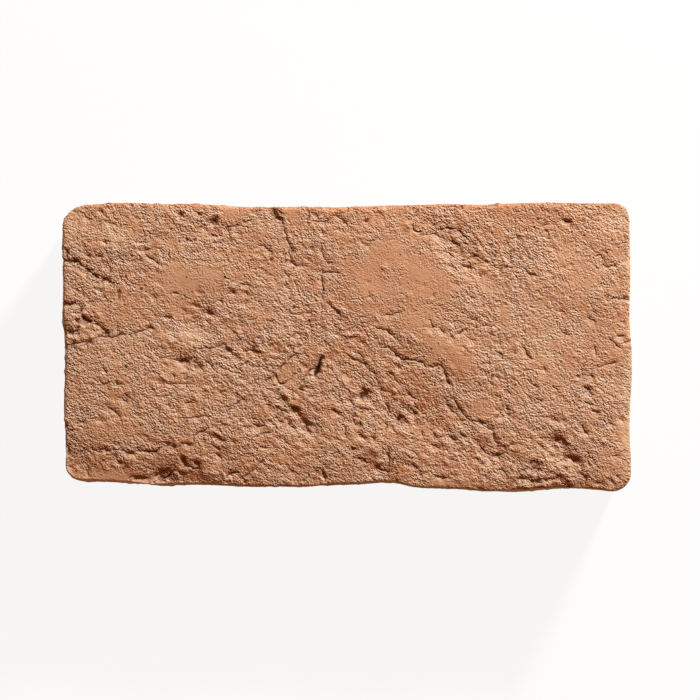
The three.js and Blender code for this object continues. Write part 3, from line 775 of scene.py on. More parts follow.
# %% A line through points, and the nearest place on it
TREMBLE_SIZE, TREMBLE_REACH = 2.1, 0.9  # mm


def smooth_path(points, steps=7):
    """The same Catmull-Rom curve as for the sides, through points in the plane, with a tremble."""
    points = np.asarray(points, float)
    share = np.linspace(-1, 1, steps * (len(points) - 1) + 1)
    path = np.stack([smooth_line(points[:, 0], share), smooth_line(points[:, 1], share)], 1)
    place = np.column_stack([path, np.full(len(path), THICKNESS)])
    tremble = np.stack([noise(place, TREMBLE_SIZE, seed) for seed in (31, 32)], 1)
    return path + TREMBLE_REACH * tremble


def nearest_on_path(places, path):
    """Nearest point of a line of straight pieces, how far along the line it is (0 to 1), and 1
    for a place to the left of the line or -1 for one to its right."""
    start, run = path[:-1], np.diff(path, axis=0)
    length = np.linalg.norm(run, axis=1)
    away = places[:, None] - start
    share = np.clip(np.sum(away * run, axis=2) / length**2, 0, 1)
    best = np.linalg.norm(away - share[..., None] * run, axis=2).argmin(1)
    here = np.arange(len(places))
    nearest = start[best] + share[here, best, None] * run[best]
    before = np.concatenate([[0], np.cumsum(length)[:-1]])
    along = (before[best] + share[here, best] * length[best]) / length.sum()
    across = run[best, 0] * away[here, best, 1] - run[best, 1] * away[here, best, 0]
    return nearest, along, np.sign(across)


wobble = smooth_path([(0, 0), (10, 0)])[:, 1]
print("a straight line strays by up to, mm:", round(float(np.abs(wobble).max()), 2))

# %% How deep a fold is around its line
FOLD_SHARE = 0.56  # of the depths above
FOLD_HALF, FOLD_LEAST = 0.42, 0.25  # half width: a share of the width, and a least part in mm
GENTLE_LIP = 2.5  # how much further the gentle side reaches
END_SHARE = 0.3  # of its depth that a fold keeps at its ends
END_RUN = 0.12  # the share of its length over which a fold opens at each end
GAPE_SHARE, GAPE_REACH = 0.85, 1.4  # of the depth, and mm on each side of the line
FAR_AWAY = 9.0  # mm, where no fold is near
# Size in mm, seed, mean, swing, least and most of the depth and of the gape along a fold.
DEPTH_WAVER = (2.3, 67, 0.9, 1.2, 0.15, 1.6)
GAPE_WAVER = (2.2, 66, 0.75, 1.3, 0.05, 1.5)


def fold_depths(folds, places, chosen):
    """The height that folds take off each chosen point, its distance to the nearest fold (less
    than nothing on its right), and how far that fold gapes. A fold falls off sharply on the
    side towards the lamp, and gently on the other."""
    cut, gape = np.zeros(len(places)), np.zeros(len(places))
    gap_to = np.full(len(places), FAR_AWAY)
    for width, depth, points in folds:
        path = smooth_path(points)
        reach = 2 * width + 1
        inside = (places > path.min(0) - reach) & (places < path.max(0) + reach)
        near = np.flatnonzero(chosen & inside.all(axis=1))
        if len(near) == 0:
            continue
        nearest, along, left = nearest_on_path(places[near], path)
        gap = np.linalg.norm(nearest - places[near], axis=1)
        far_side = (nearest - places[near]) @ LAMP_WAY[:2] / np.maximum(gap, 1e-6)
        gentle = 1 + GENTLE_LIP * np.clip(far_side, 0, 1)
        fade = END_SHARE + (1 - END_SHARE) * np.sqrt(np.maximum(np.sin(np.pi * along), 0))
        fade = fade * wavering(form[near], *DEPTH_WAVER)
        half = (FOLD_HALF * width * fade + FOLD_LEAST) * gentle
        shape = np.clip(1 - gap / half, 0, 1)
        cut[near] = np.minimum(cut[near], -FOLD_SHARE * depth * fade * shape)
        closer = gap < np.abs(gap_to[near])
        gap_to[near] = np.where(closer, gap * left, gap_to[near])
        ends = smooth_step(0, END_RUN, along) * smooth_step(0, END_RUN, 1 - along)
        torn_open = wavering(form[near], *GAPE_WAVER)
        opening = GAPE_SHARE * depth * ends * torn_open * min(1, GAPE_REACH / width)
        gape[near] = np.where(closer & (gap < GAPE_REACH), opening, gape[near])
    return cut, gap_to, gape


print("half width of a fold 2 mm wide, mm:", FOLD_HALF * 2 + FOLD_LEAST)

# %% The folds cut into the face
# Points of the grid near a fold are drawn onto its line first, so that its keel is sharp: all
# the way up to the first distance, and not at all past the second, in mm.
DRAWN_IN, LEFT_ALONE = 0.3, 0.8
FACE_BAND, SEARCH_MARGIN = 4, 2  # mm below the face, and mm around a line
plan = form[:, :2].copy()
on_face = form[:, 2] > THICKNESS - FACE_BAND
for _, _, points in FACE_FOLDS:
    path = smooth_path(points)
    inside = (plan > path.min(0) - SEARCH_MARGIN) & (plan < path.max(0) + SEARCH_MARGIN)
    near = np.flatnonzero(on_face & inside.all(axis=1))
    nearest = nearest_on_path(plan[near], path)[0]
    gap = np.linalg.norm(nearest - plan[near], axis=1)
    drawn = 1 - smooth_step(DRAWN_IN, LEFT_ALONE, gap)
    plan[near] += (nearest - plan[near]) * drawn[:, None]
form[:, :2] = plan
grooves, crack_gap, crack_depth = fold_depths(FACE_FOLDS, plan, on_face)
grooves = grooves * upper
print("deepest fold of the face, mm:", round(float(grooves.min()), 2))

# %% The folds of the sides
# Each side: the axis along it, the way it faces, and its folds, as places along it and up.
SIDE_FOLDS = [
    (0, (0, -1), [
        (3.0, 2.6, [(-74, 40), (-42, 33), (-6, 35), (24, 28)]),
        (2.6, 2.2, [(54, 41), (74, 34), (96, 34)]),
        (2.4, 1.9, [(-104, 26), (-88, 19), (-70, 22)]),
        (2.4, 1.9, [(34, 17), (52, 12), (66, 16)]),
        (2.2, 1.6, [(-30, 14), (-14, 19), (-2, 15)]),
    ]),
    (0, (0, 1), [
        (2.8, 2.5, [(-6, 30), (30, 37), (60, 33), (90, 39)]),
        (2.2, 2.4, [(-32.4, 54.5), (-33, 46.8), (-30, 37)]),
        (2.4, 1.9, [(-96, 22), (-74, 30), (-56, 27)]),
        (2.4, 1.8, [(-20, 15), (4, 11), (22, 17)]),
        (2.2, 1.6, [(64, 14), (80, 20), (98, 17)]),
    ]),
    (1, (-1, 0), [
        (2.2, 2.4, [(37.2, 54.2), (34.8, 44), (30, 35.8)]),
        (2.6, 2.0, [(-42, 32), (-20, 24), (2, 29)]),
        (2.2, 1.6, [(14, 14), (32, 18)]),
    ]),
    (1, (1, 0), [
        (2.6, 2.3, [(-33, 24.8), (-6, 34.4), (21, 30.8)]),
        (2.2, 1.7, [(-46, 43), (-34, 38), (-24, 40)]),
        (2.2, 1.6, [(8, 12), (24, 17), (40, 15)]),
    ]),
]
LEAST_FACING = 0.7  # how squarely a point of a side has to face its way
for axis, facing, folds in SIDE_FOLDS:
    on_side = outward[:, :2] @ np.array(facing) > LEAST_FACING
    grooves += fold_depths(folds, form[:, [axis, 2]], on_side)[0] * (1 - upper)
print("folds of the sides:", sum(len(row[2]) for row in SIDE_FOLDS))

# %% [markdown]
# ## Pits and hollows
# Where a lump of sand, a pebble or a bit of straw sat against the face, it left a pit. Each
# is a bell with steep walls and a flat floor, pushed in. Broad, shallow ones are where the clot
# never quite reached the mould.

# %% Pits, listed one by one
# Each row: x, y, reach along, reach across, turn in degrees, and depth, lengths in mm. A depth
# below nothing is a lump.
PITS = [
    (-12.2, -8.8, 3.6, 1.05, 72, 3.2), (-10.8, -5.0, 1.2, 0.5, 62, 2.2),
    (-13.1, -11.4, 1.6, 0.7, 75, 2.0),
    (-16.2, -13.6, 3.2, 2.2, 20, -0.7),
    (-70, 55.3, 1.2, 1.1, 0, 1.0), (-56, 52.3, 1.7, 1.6, 0, 1.3), (8, 52.7, 1.2, 0.9, 0, 1.0),
    (-14.5, 41.2, 1.1, 1.1, 0, 0.9), (88, 56, 0.6, 0.6, 0, 0.8), (94, 34.6, 0.9, 0.6, -20, 0.8),
    (9.5, 21.3, 0.7, 0.6, 0, 0.8), (29, 27.5, 0.5, 0.4, 0, 0.8), (36.2, 21.3, 0.4, 0.6, 0, 0.8),
    (27, 15, 0.5, 0.4, 0, 0.7), (73.5, 14, 0.6, 0.5, 0, 0.8), (116.2, 20.7, 0.9, 0.8, 0, 1.8),
    (-47.5, 22.8, 1.2, 0.9, -20, 0.9), (-58.5, 41.5, 0.6, 0.6, 0, 0.8), (83.5, 48.5, 1.1, 0.9, 0, 0.7),
    (116.5, 10.5, 0.6, 0.8, 0, 0.7), (112.4, 49.6, 0.7, 0.5, 30, 0.8), (105, 55.5, 0.5, 0.5, 0, 0.6),
    (-117.7, 39.5, 1.1, 1.9, 0, 1.1), (-119.5, 18.5, 1.4, 1.2, 0, 1.0), (-109.5, 12, 1.6, 0.9, -40, 0.8),
    (-75, 12.3, 2.2, 1.3, -20, 0.7), (-57.5, 14.3, 3.0, 1.5, -25, 1.1), (-63, 17.2, 2.2, 0.9, -10, 0.8),
    (-54.5, 43.8, 2.8, 0.7, 0, 0.6), (92.2, 53, 1.9, 0.8, -10, 0.8), (-89, 31.5, 1.0, 0.6, 10, 0.7),
    (-50, 36.5, 0.9, 0.7, 30, 0.5), (-98, 52, 1.3, 0.8, -20, 0.6), (-117.3, -33, 0.8, 0.6, 0, 0.7),
    (7.4, -20.2, 2.6, 2.2, 20, 1.7), (6.3, -24.4, 3.0, 1.7, -10, -0.8), (-21.8, -26.6, 2.0, 1.5, 0, 0.8),
    (6.6, -37.4, 2.4, 1.4, -40, 0.6), (10.8, -38.6, 1.3, 1.6, 30, 0.6),
    (89, -39, 3.4, 1.8, -10, 0.9), (96, -47, 2.6, 1.5, -45, 0.9), (79, -49, 2.2, 1.9, 0, 0.9),
    (22.3, -29.6, 2.4, 1.3, -20, 1.0),
    (-77, -53.2, 2.6, 1.2, 10, 0.5), (-68, -48, 1.2, 1.6, 20, 0.7), (-62.5, -49, 1.2, 1.4, 0, 0.6),
    (-117, -43.5, 1.0, 3.2, 0, 0.8), (-109, -52.5, 0.9, 2.4, 0, 0.5), (-87, -54.8, 3.6, 1.0, 0, 0.6),
    (-68.5, -5.6, 2.8, 1.6, -10, 0.45), (-26.5, -22.5, 1.9, 1.4, -30, 0.5), (-35, -42.2, 1.8, 0.7, 0, 0.5),
    (101.5, -18, 1.7, 1.1, -40, 0.6), (67, -26, 0.8, 1.6, 20, 0.6), (57, -13, 0.6, 0.5, 0, 0.5),
    (114, -54.5, 3.2, 0.7, -40, 0.6), (111, -56.5, 2.8, 0.6, -40, 0.6), (106, -57, 2.4, 1.0, 0, 0.4),
    (-57, -53.2, 3.4, 2.8, -20, -0.9), (-71.3, -54.2, 1.4, 1.6, 0, -0.8), (-91.5, -47, 3.2, 2.2, -20, -0.6),
    (75, -58.3, 3.4, 1.6, 0, -0.9), (83, -57.8, 3.0, 1.3, 0, -0.8), (94, -53.5, 4.0, 2.6, -10, -0.7),
    (-22.5, -29.6, 2.4, 1.5, -40, -0.6), (-15, -30.4, 1.4, 1.8, 0, -0.5), (14, -48.2, 1.8, 1.5, 0, -0.8),
    (22.5, -33.6, 3.0, 1.5, -15, -0.6), (11.5, -42.2, 2.4, 1.6, -30, -0.6), (25, -45, 3.4, 1.8, -20, -0.5),
    (58, 32.5, 2.2, 1.4, 10, -0.7), (49, 31.6, 1.6, 1.0, 0, -0.7), (-104, 13.5, 2.2, 1.6, -30, -0.5),
    (-115.5, 12, 1.8, 2.4, 0, -0.5), (-15.5, 52.8, 0.7, 0.7, 0, -0.7), (44, -33, 2.6, 1.4, -40, -0.5),
]

print("pits and lumps:", len(PITS))

# %% The pits pushed in
fray = np.stack([noise(form, 1.9, a) + noise(form, 4.2, b) for a, b in ((33, 34), (35, 36))], 1)
PIT_SHARE = 0.75  # of the depths above
PIT_FRAY, MOST_FRAY = 0.45, 0.8  # a share of the reach across, and the most in mm
PIT_WAVER = (2.2, 68, 1, 0.7, 0.3, 1.6)  # as for the folds
RIM_LEVEL = 0.6  # how high on its bell a pit has its rim
pit_waver = wavering(form, *PIT_WAVER)
pits = np.zeros(len(form))
pit_rim = np.full(len(form), -1.0)
for x, y, along, across, turn, depth in PITS:
    edge = form[:, :2] + min(MOST_FRAY, PIT_FRAY * across) * fray
    bell = mound(edge, (x, y), (along, across), turn, 1.6)
    pits -= PIT_SHARE * depth * bell * pit_waver
    if depth > 0:
        pit_rim = np.maximum(pit_rim, bell - RIM_LEVEL)
pits = pits * upper
print("deepest pit, mm:", round(float(pits.min()), 2))

# %% [markdown]
# ## Scattered crumbs and sand holes
# Torn clay is not one even roughness. Single crumbs stand proud of it, and single holes show
# where a grain or a bit of straw came away. They are scattered at random over the whole
# brick, most thickly where the clay tore, and all are a little drawn out the same way.

# %% Crumbs and holes scattered at random
GRAIN_TURN = math.radians(-35)  # crumbs and small dents are drawn out this way
STRETCH_WAY = np.array([math.cos(GRAIN_TURN), math.sin(GRAIN_TURN), 0])
# Each: how many, least and largest half width in mm, height as a share of it.
CRUMBS, HOLES = (2000, 0.55, 1.3, 0.28), (900, 0.45, 1.2, -0.4)
# The chance of one at a point: anywhere, more where the clay tore, and more in patches, whose
# size is in mm.
EVEN_CHANCE, TORN_CHANCE, PATCH_CHANCE, PATCH_SIZE = 0.2, 1.2, 0.3, 9.0
LEATHER_SPARED = 0.85  # how far the leathery places are spared
RARITY = 2.5  # the higher, the rarer are the large ones
BELL_SHAPE, BELL_TREMBLE, BELL_REACH = 1.6, 0.3, 2.2  # the last two in half widths


def scatter(row, stretch, seed):
    """Bells at random points of the surface, as a height in mm for every point: a bell falls
    off by the distance from its middle in half widths, shortened along the stretch."""
    count, least, largest, share = row
    rng = np.random.default_rng(seed)
    in_patch = noise(form, PATCH_SIZE, seed) > 0.1
    crumbly = EVEN_CHANCE + TORN_CHANCE * torn + PATCH_CHANCE * in_patch
    weight = point_weights * crumbly * (1 - LEATHER_SPARED * leather) * (form[:, 2] > 1)
    centres = form[rng.choice(len(form), count, p=weight / weight.sum())]
    centres = centres + rng.uniform(-0.4, 0.4, centres.shape)
    halves = least + (largest - least) * rng.random(count) ** RARITY
    heights = halves * share * rng.uniform(0.6, 1.3, count)
    relief = np.zeros(len(form))
    for centre, half, height in zip(centres, halves, heights):
        near = np.flatnonzero(np.all(np.abs(form - centre) < BELL_REACH * half * stretch, axis=1))
        away = form[near] - centre + BELL_TREMBLE * half * tremble[near]
        run = away @ STRETCH_WAY
        across = np.sum(away**2, axis=1) - run**2
        bell = np.exp(-(((run / stretch) ** 2 + across) / half**2) ** BELL_SHAPE)
        relief[near] += height * bell
    return relief


tremble = np.stack([noise(form, 1.7, seed) for seed in (61, 62, 63)], 1)
crumbs = scatter(CRUMBS, 1.35, 64)
holes = scatter(HOLES, 1.5, 65)
print("crumbs up to", round(float(crumbs.max()), 2), "mm, holes down to", round(float(holes.min()), 2))

# %% [markdown]
# ## Broad swells and worn edges
# Broad places stand higher or lower than the rest, and some corners and edges are worn down.
# These are the same swells and hollows as on the solid part, so the two surfaces agree.

# %% Swells, listed one by one
# Each row: x, y, reach along, reach across, turn in degrees, and height, lengths in mm.
SWELLS = [
    (24, 26, 42, 24, -12, 0.9), (42, -2, 24, 8, -26, 0.9), (24, -26, 26, 9, -28, -1.0),
    (-54, 30, 19, 9, 5, 0.5), (90, 26, 16, 11, -25, 0.7), (-66, 1, 10, 4, -8, 0.6),
    (-62, 10, 7, 4, -25, -0.6), (-32, 8, 14, 8, -20, 0.4), (-99, 41, 9, 5, -20, 0.5),
    (-115, 13, 6, 5, 0, 0.6), (45, 42, 15, 4.5, -46, -0.8), (-16, 33, 10, 6, -20, -0.4),
    (-57, 48, 10, 4, 0, -0.5), (-20, -31, 8, 4, -35, -0.8), (-38, -31, 6, 3, -20, -0.5),
    (-54, -44, 7, 4, -20, -0.8), (62, -45, 9, 5, -25, -0.9), (90, -45, 10, 5, -35, -1.1),
    (14, -54, 8, 6, -50, -0.9), (-11, -56, 10, 5, 0, -0.6), (-74, -57, 19, 8, 0, -2.6),
    (-114, -50, 12, 9, 0, -1.9), (88, -62, 36, 6, 0, -1.5), (-114, 57, 10, 8, 0, -1.3),
    (115, 57, 10, 7, 0, -1.2), (122, -32, 9, 24, 0, -1.0),
]
swells = np.zeros(len(form))
for x, y, along, across, turn, height in SWELLS:
    swells += height * mound(form[:, :2], (x, y), (along, across), turn)
swells = swells * np.clip(form[:, 2] / THICKNESS, 0, 1) ** 2
print("swells, mm:", round(float(swells.min()), 2), "to", round(float(swells.max()), 2))

# %% [markdown]
# ## The sandy grain
# Crumbly clay is rough at every size at once: lumps of some millimetres, wrinkles on the
# lumps, grains on the wrinkles. Each layer of noise is a little over half as wide as the one
# before, and steeper. The leathery places keep only a part of it. Anything finer than the cells
# of the mesh is left to the material.

# %% Layers of the grain
# Each row: size of the bumps in mm, height in mm, and how far their crests lean over.
GRAIN_LAYERS = [(7.6, 0.15, 0.3), (4.1, 0.18, 0.45), (2.3, 0.22, 0.45), (1.45, 0.16, 0.4)]
SWAY_SIZE, SWAY_HEIGHT = 16.0, 0.25
# Clods. Each row: size in mm, height in mm, lean, and the least share of them anywhere.
CLOD_LAYERS = [(5.2, 0.5, 0.35, 0.0), (2.9, 0.5, 0.35, 0.15)]
CLOD_STRETCH, CLOD_TURN = 1.35, -40  # drawn out this many times, and this way in degrees
SIDE_TORN, TORN_PATCH_SIZE = 0.75, 26.0  # a share, and mm
FINE_DRIFT_SIZE, FINE_DRIFT_REACH = 3.1, 0.7  # mm

print("layers:", len(GRAIN_LAYERS), "of noise and", len(CLOD_LAYERS), "of clods")

# %% Grain of the sanded faces
# The sides are torn in patches that noise places, and not so deeply as the face.
side_patches = smooth_step(-0.1, 0.4, noise(form, TORN_PATCH_SIZE, 91))
side_torn = SIDE_TORN * side_patches * (1 - upper) * (1 - leather)
torn = np.maximum(torn, side_torn)
drift = np.stack([noise(form, FINE_DRIFT_SIZE, seed) for seed in (37, 38, 39)], 1)
warped = warped + FINE_DRIFT_REACH * drift
crumb = np.zeros(len(form))
for number, (size, layer_height, pull) in enumerate(GRAIN_LAYERS):
    crumb += layer_height * leaned(noise, warped, size, 41 + number, pull)
patchy = 0.9 + 0.7 * noise(warped, 5.2, 46) + 0.4 * noise(form, 15.0, 47)
patchy = np.clip(patchy, 0.4, 1.5)
fine_rough = patchy * (0.85 + 0.25 * torn)
patchy = patchy * (0.35 + 0.9 * torn)
crumb *= (1 - 0.75 * leather) * patchy
print("noise layers, mm:", round(float(crumb.min()), 2), "to", round(float(crumb.max()), 2))

# %% Clods, and the whole height
# The clods lean across their own length.
away = turned(warped, (0, 0), CLOD_TURN) / [CLOD_STRETCH, 1]
away = np.column_stack([away, warped[:, 2]])
across_way = np.array([0, 1, 0])
for number, (size, layer_height, pull, least) in enumerate(CLOD_LAYERS):
    share = np.clip(least + 0.9 * torn + 0.6 * noise(form, 13.0, 72 + number), 0, 1.2)
    mounds = leaned(clods, away, size, 81 + number, pull, across_way)
    crumb += layer_height * mounds * share * (1 - 0.9 * leather)
sway = noise(form, SWAY_SIZE, 44) + 0.5 * noise(form, SWAY_SIZE / 2, 45)
height = crumb + crumbs + holes + SWAY_HEIGHT * sway + grooves + pits + swells
print("grain, mm:", float(crumb.min()), "to", float(crumb.max()), "rms", float(crumb.std()))

# %% [markdown]
# ## The struck bed
# The bed was cut off along the mould with a board or a wire. It is level, with long drag
# lines and torn pinholes that only ever go in.

# %% The bed, and the finished surface
DRAG_LINE_SIZE, DRAG_LINE_DEPTH = 1.9, 0.12  # mm
DRAG_LINE_SHRINK = 0.06  # places along the bed count this much, which draws the lines out
BED_HOLE_SIZE, BED_HOLE_DEPTH = 4.0, 0.5  # mm
is_bed = smooth_step(0.9, 0.99, -outward[:, 2])
drag = noise(form * np.array([DRAG_LINE_SHRINK, 1, 1]), DRAG_LINE_SIZE, 51)
bed_holes = smooth_step(0.35, 0.7, noise(form, BED_HOLE_SIZE, 52))
bed_depth = DRAG_LINE_DEPTH + DRAG_LINE_DEPTH * drag + BED_HOLE_DEPTH * bed_holes
surface = form + outward * (height * (1 - is_bed))[:, None]
surface[:, 2] = np.where(
    form[:, 2] < 0.02, is_bed * np.maximum(bed_depth, 0), np.maximum(surface[:, 2], 0)
)
print("surface, mm:", surface.min(0).round(2), surface.max(0).round(2))

# %% [markdown]
# ## The mesh
# The real brick is one closed lump of clay, so its points and faces become one mesh, set whole
# array by whole array. It replaces the plain solid and rides on the same body.

# %% The mesh


def make_mesh(name, points, quads, triangles):
    """A smooth-shaded mesh from points in millimetres and its faces, and its object."""
    mesh = bpy.data.meshes.new(name)
    corners = np.concatenate([quads.ravel(), triangles.ravel()])
    starts = np.concatenate(
        [np.arange(len(quads)) * 4, quads.size + np.arange(len(triangles)) * 3]
    )
    mesh.vertices.add(len(points))
    mesh.vertices.foreach_set("co", (points / 1000).astype(np.float32).ravel())
    mesh.loops.add(len(corners))
    mesh.loops.foreach_set("vertex_index", corners.astype(np.int32))
    mesh.polygons.add(len(starts))
    mesh.polygons.foreach_set("loop_start", starts.astype(np.int32))
    mesh.update(calc_edges=True)
    mesh.validate()
    mesh.polygons.foreach_set("use_smooth", np.ones(len(mesh.polygons), bool))
    obj = bpy.data.objects.new(name, mesh)
    bpy.context.scene.collection.objects.link(obj)
    return obj


brick = make_mesh("moulded_brick", surface - MOULD_CENTRE, quads, triangles)
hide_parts("brick")
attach(brick, "root")
print("mesh:", len(brick.data.vertices), "points,", len(brick.data.polygons), "faces")

# %% Numbers kept at each point for the material
# The folds of the sides are wide, so their shape shows them and their painted shade is faint.
SIDE_SHADE_SHARE = 0.3
DARKEST_DEPTH = 2.5  # mm, at which the painted shade would be full
CRUMB_SPAN = 1.4  # mm from the lowest grain to the highest one that the colour tells apart

lean = (point_directions(surface)[0] - outward) @ LAMP_WAY
# Folds and pits are painted darker the deeper they are: painted shade.
fold_and_pit_shade = np.clip(-(grooves + 0.5 * pits) / DARKEST_DEPTH, 0, 0.5)
# One number for each point of the brick, for its material to read.
stored = {
    "leather": leather,
    "lean": np.clip(lean, -0.35, 0.35),
    "crack_gap": np.clip(crack_gap, -2, 2),
    "crack_depth": crack_depth * upper,
    "pit_rim": np.where(upper > 0.5, pit_rim, -1),
    "crumb": np.clip(0.5 + (crumb + crumbs + holes) / CRUMB_SPAN, 0, 1),
    "rough": fine_rough,
    "hollow": -(grooves + pits),
    "torn": np.clip(torn, 0, 1),
    "sanded": np.clip(sanded, -1.8, 1.8),
    "fold": fold_and_pit_shade * (SIDE_SHADE_SHARE + (1 - SIDE_SHADE_SHARE) * upper),
}
for name, values in stored.items():
    attribute = brick.data.attributes.new(name, "FLOAT", "POINT")
    attribute.data.foreach_set("value", values.astype(np.float32))
print("stored on the mesh:", list(stored), " lean rms:", round(float(lean.std()), 3))

# %% [markdown]
# ## Two helpers
# Colours are picked on a screen, as hex values, and Blender mixes light in linear numbers, so
# one function turns the first into the second. A material is a small network, and one more
# function adds a node of any kind with its settings and links.

# %% Colour helper and node helper


def linear(hex_colour):
    """An sRGB hex colour, such as "#b98560", as linear red, green, blue and full cover. A dark
    part is divided by 12.92, and a lighter one is shifted and raised to the power of 2.4."""
    parts = [int(hex_colour[i : i + 2], 16) / 255 for i in (1, 3, 5)]
    return [p / 12.92 if p <= 0.04045 else ((p + 0.055) / 1.055) ** 2.4 for p in parts] + [1]


def add_node(tree, kind, sockets=(), out=0, **settings):
    """Adds a node and gives back one of its outputs. `sockets` are its inputs, by name or number
    or as a plain list. Another node's output is linked, and anything else is set as a value."""
    node = tree.nodes.new("ShaderNode" + kind)
    for name, value in settings.items():
        setattr(node, name, value)
    for name, value in sockets.items() if isinstance(sockets, dict) else enumerate(sockets):
        if isinstance(value, bpy.types.NodeSocket):
            tree.links.new(value, node.inputs[name])
        else:
            node.inputs[name].default_value = value
    return node.outputs[out] if len(node.outputs) else node


def empty_material(name):
    """A new material whose network is still empty, and that network."""
    material = bpy.data.materials.new(name)
    material.use_nodes = True
    material.node_tree.nodes.clear()
    return material, material.node_tree


print("mid grey in linear numbers:", round(linear("#808080")[0], 3))

# %% [markdown]
# ## The clay's finish
# The finish is red brick clay, moulded by hand in sand and fired to about 1000 degrees. It is
# matt and porous, so it has next to no gloss. Sanded places are pale and yellowish, and bare
# ones a deeper red brown, though many of the places set so are painted light and shade. The
# finest relief, below the cells of the mesh, is drawn by the same network as bump: sand grains,
# small dents pulled to one side, and the frayed lips of the folds.
#
# Much here is painted light, and not how clay is. The colour grows paler where a spot leans
# towards the lamp, and redder where it leans away, because relief and lamp alone left the face
# too even. It is fixed in the clay, so it only suits a lamp on that side: nearly half of the fine
# contrast comes from it, and under a lamp on the other side it works against the shadows and
# the face looks nearly flat. A LEAN_SHARE of 0 takes it away, for any other light. Painted shade
# darkens the folds, cracks and pit rims, turns deep hollows and pinholes near black, and makes the
# low spots of the grain a little redder than its crests.

# %% Fired clay
LAMP_SIDE_CLAY, BARE_CLAY, FAR_SIDE_CLAY = "#d9bca2", "#ca9570", "#883e1a"
# The second is sand in part, and in part a painted highlight.
LEATHERY_CLAY, DUST_AND_HIGHLIGHT_CLAY = "#c89674", "#d9b78e"
# Both are painted shade: the first for folds, cracks and pit rims, the second for deep hollows and
# pinholes.
FOLD_SHADE_CLAY, PIT_SHADE_CLAY = "#7c4a33", "#4a2c1b"
SAND_GRAIN = 0.82  # mm, coarser than real moulding sand (0.2 to 0.5), or it would not show
# Each row: size in mm, how far it is drawn out, where the noise starts to be a dent and where
# it is all dent, how far the deep part is pulled aside in mm, and the noise's detail.
SMALL_DENTS = (1.7, 1.15, 0.42, 0.66, 0.5, 1.0)
LARGE_DENTS = (3.6, 1.2, 0.44, 0.68, 0.9, 2.0)
FURROWS = (2.6, 1.5, 0.42, 0.66, 0.9, 2.0)
GRIT_HEIGHT = 0.6  # mm

clay, clay_tree = empty_material("hand_moulded_sanded_fired_clay")
add = functools.partial(add_node, clay_tree)
place = add("TexCoord", out="Object")
at = {name: add("Attribute", out="Fac", attribute_name=name) for name in stored}


def dents(size, stretch, low, high, pull, detail):
    """Ragged dents: noise in space, cut off softly between `low` and `high`. Then it is read
    again where the first reading pushed it aside, so one wall is steep and one is gentle."""
    turned_place = {"Vector": place, "Rotation": (0, 0, GRAIN_TURN), "Scale": (stretch, 1, 1)}
    drawn = add("Mapping", turned_place, vector_type="TEXTURE")
    drawn = add("VectorMath", [drawn, (size, 0, 0)], operation="ADD")  # no two layers alike
    pattern = {"Scale": 1000 / size, "Detail": detail, "Roughness": 0.6}
    cut = {"From Min": low, "From Max": high}
    first = add("TexNoise", pattern | {"Vector": drawn})
    first = add("MapRange", cut | {"Value": first}, interpolation_type="SMOOTHSTEP")
    aside = add("VectorMath", [first, (0, pull / 1000, 0), drawn], operation="MULTIPLY_ADD")
    again = add("TexNoise", pattern | {"Vector": aside})
    return add("MapRange", cut | {"Value": again}, interpolation_type="SMOOTHSTEP")


print("read from the mesh:", list(at))

# %% Grit: sand grains, dents and furrows
GRAIN_GAIN = 1.5
CLOSED_SHARE = 0.6  # of the dents, where the skin is leathery
FRAYED_BORDER_SIZE, CALM_PATCH_SIZE = 4.5, 3.0  # mm
SMALL_DEPTH, LARGE_DEPTH, FURROW_DEPTH = 0.45, 0.26, 0.65  # beside the grains
grains = {"Vector": place, "Scale": 1000 / SAND_GRAIN, "Detail": 1.0, "Roughness": 0.8}
grit = add("Math", [add("TexNoise", grains), GRAIN_GAIN], operation="MULTIPLY")
open_clay = add("Math", [at["leather"], -CLOSED_SHARE, 1.0], operation="MULTIPLY_ADD")
layers = (
    (SMALL_DENTS, SMALL_DEPTH, open_clay),
    (LARGE_DENTS, LARGE_DEPTH, open_clay),
    (FURROWS, FURROW_DEPTH, at["torn"]),
)
for row, depth, where in layers:
    layer = add("Math", [dents(*row), where], operation="MULTIPLY")
    grit = add("Math", [layer, -depth, grit], operation="MULTIPLY_ADD")

# The leathery skin has a frayed border and keeps half of the grit, and so do calm patches.
fraying = {"Vector": place, "Scale": 1000 / FRAYED_BORDER_SIZE, "Detail": 3.0, "Roughness": 0.65}
fraying = add("TexNoise", fraying)
skin = add("Math", [fraying, 0.8, at["leather"]], operation="MULTIPLY_ADD")
skin = {"Value": skin, "From Min": 0.55, "From Max": 1.35}
skin = add("MapRange", skin, interpolation_type="SMOOTHSTEP")
patches = add("TexNoise", {"Vector": place, "Scale": 1000 / CALM_PATCH_SIZE, "Detail": 1.0})
patches = add("Math", [add("Math", [patches, 2.0], operation="MULTIPLY"), 0.7], operation="POWER")
loose = add("Math", [skin, -0.5 * GRIT_HEIGHT, GRIT_HEIGHT], operation="MULTIPLY_ADD")
relief = add("Math", [grit, 0.5], operation="SUBTRACT")
for share in (at["rough"], patches, loose):
    relief = add("Math", [relief, share], operation="MULTIPLY")
print("grit and skin:", len(clay_tree.nodes), "nodes")

# %% Lips of the folds, ragged pits and pinholes
FOLD_LIP = 0.46  # mm on each side of the line
LIP_SHARE, HOLE_DEPTH, PINHOLE_DEPTH = 0.5, 0.35, 0.4  # of a fold's gape, mm and mm
RAGGED_SIZE = 1.7  # mm
line = add("Math", [at["crack_gap"]], operation="ABSOLUTE")
line = add("Math", [line, -1 / FOLD_LIP, 1.0], operation="MULTIPLY_ADD", use_clamp=True)
crack = add("Math", [line, at["crack_depth"]], operation="MULTIPLY")
ragged = add("TexNoise", {"Vector": place, "Scale": 1000 / RAGGED_SIZE, "Detail": 2.0, "Roughness": 0.7})
hole = add("Math", [ragged, at["pit_rim"]], operation="ADD")
hole = {"Value": hole, "From Min": 0.45, "From Max": 0.8}
hole = add("MapRange", hole, interpolation_type="SMOOTHSTEP")

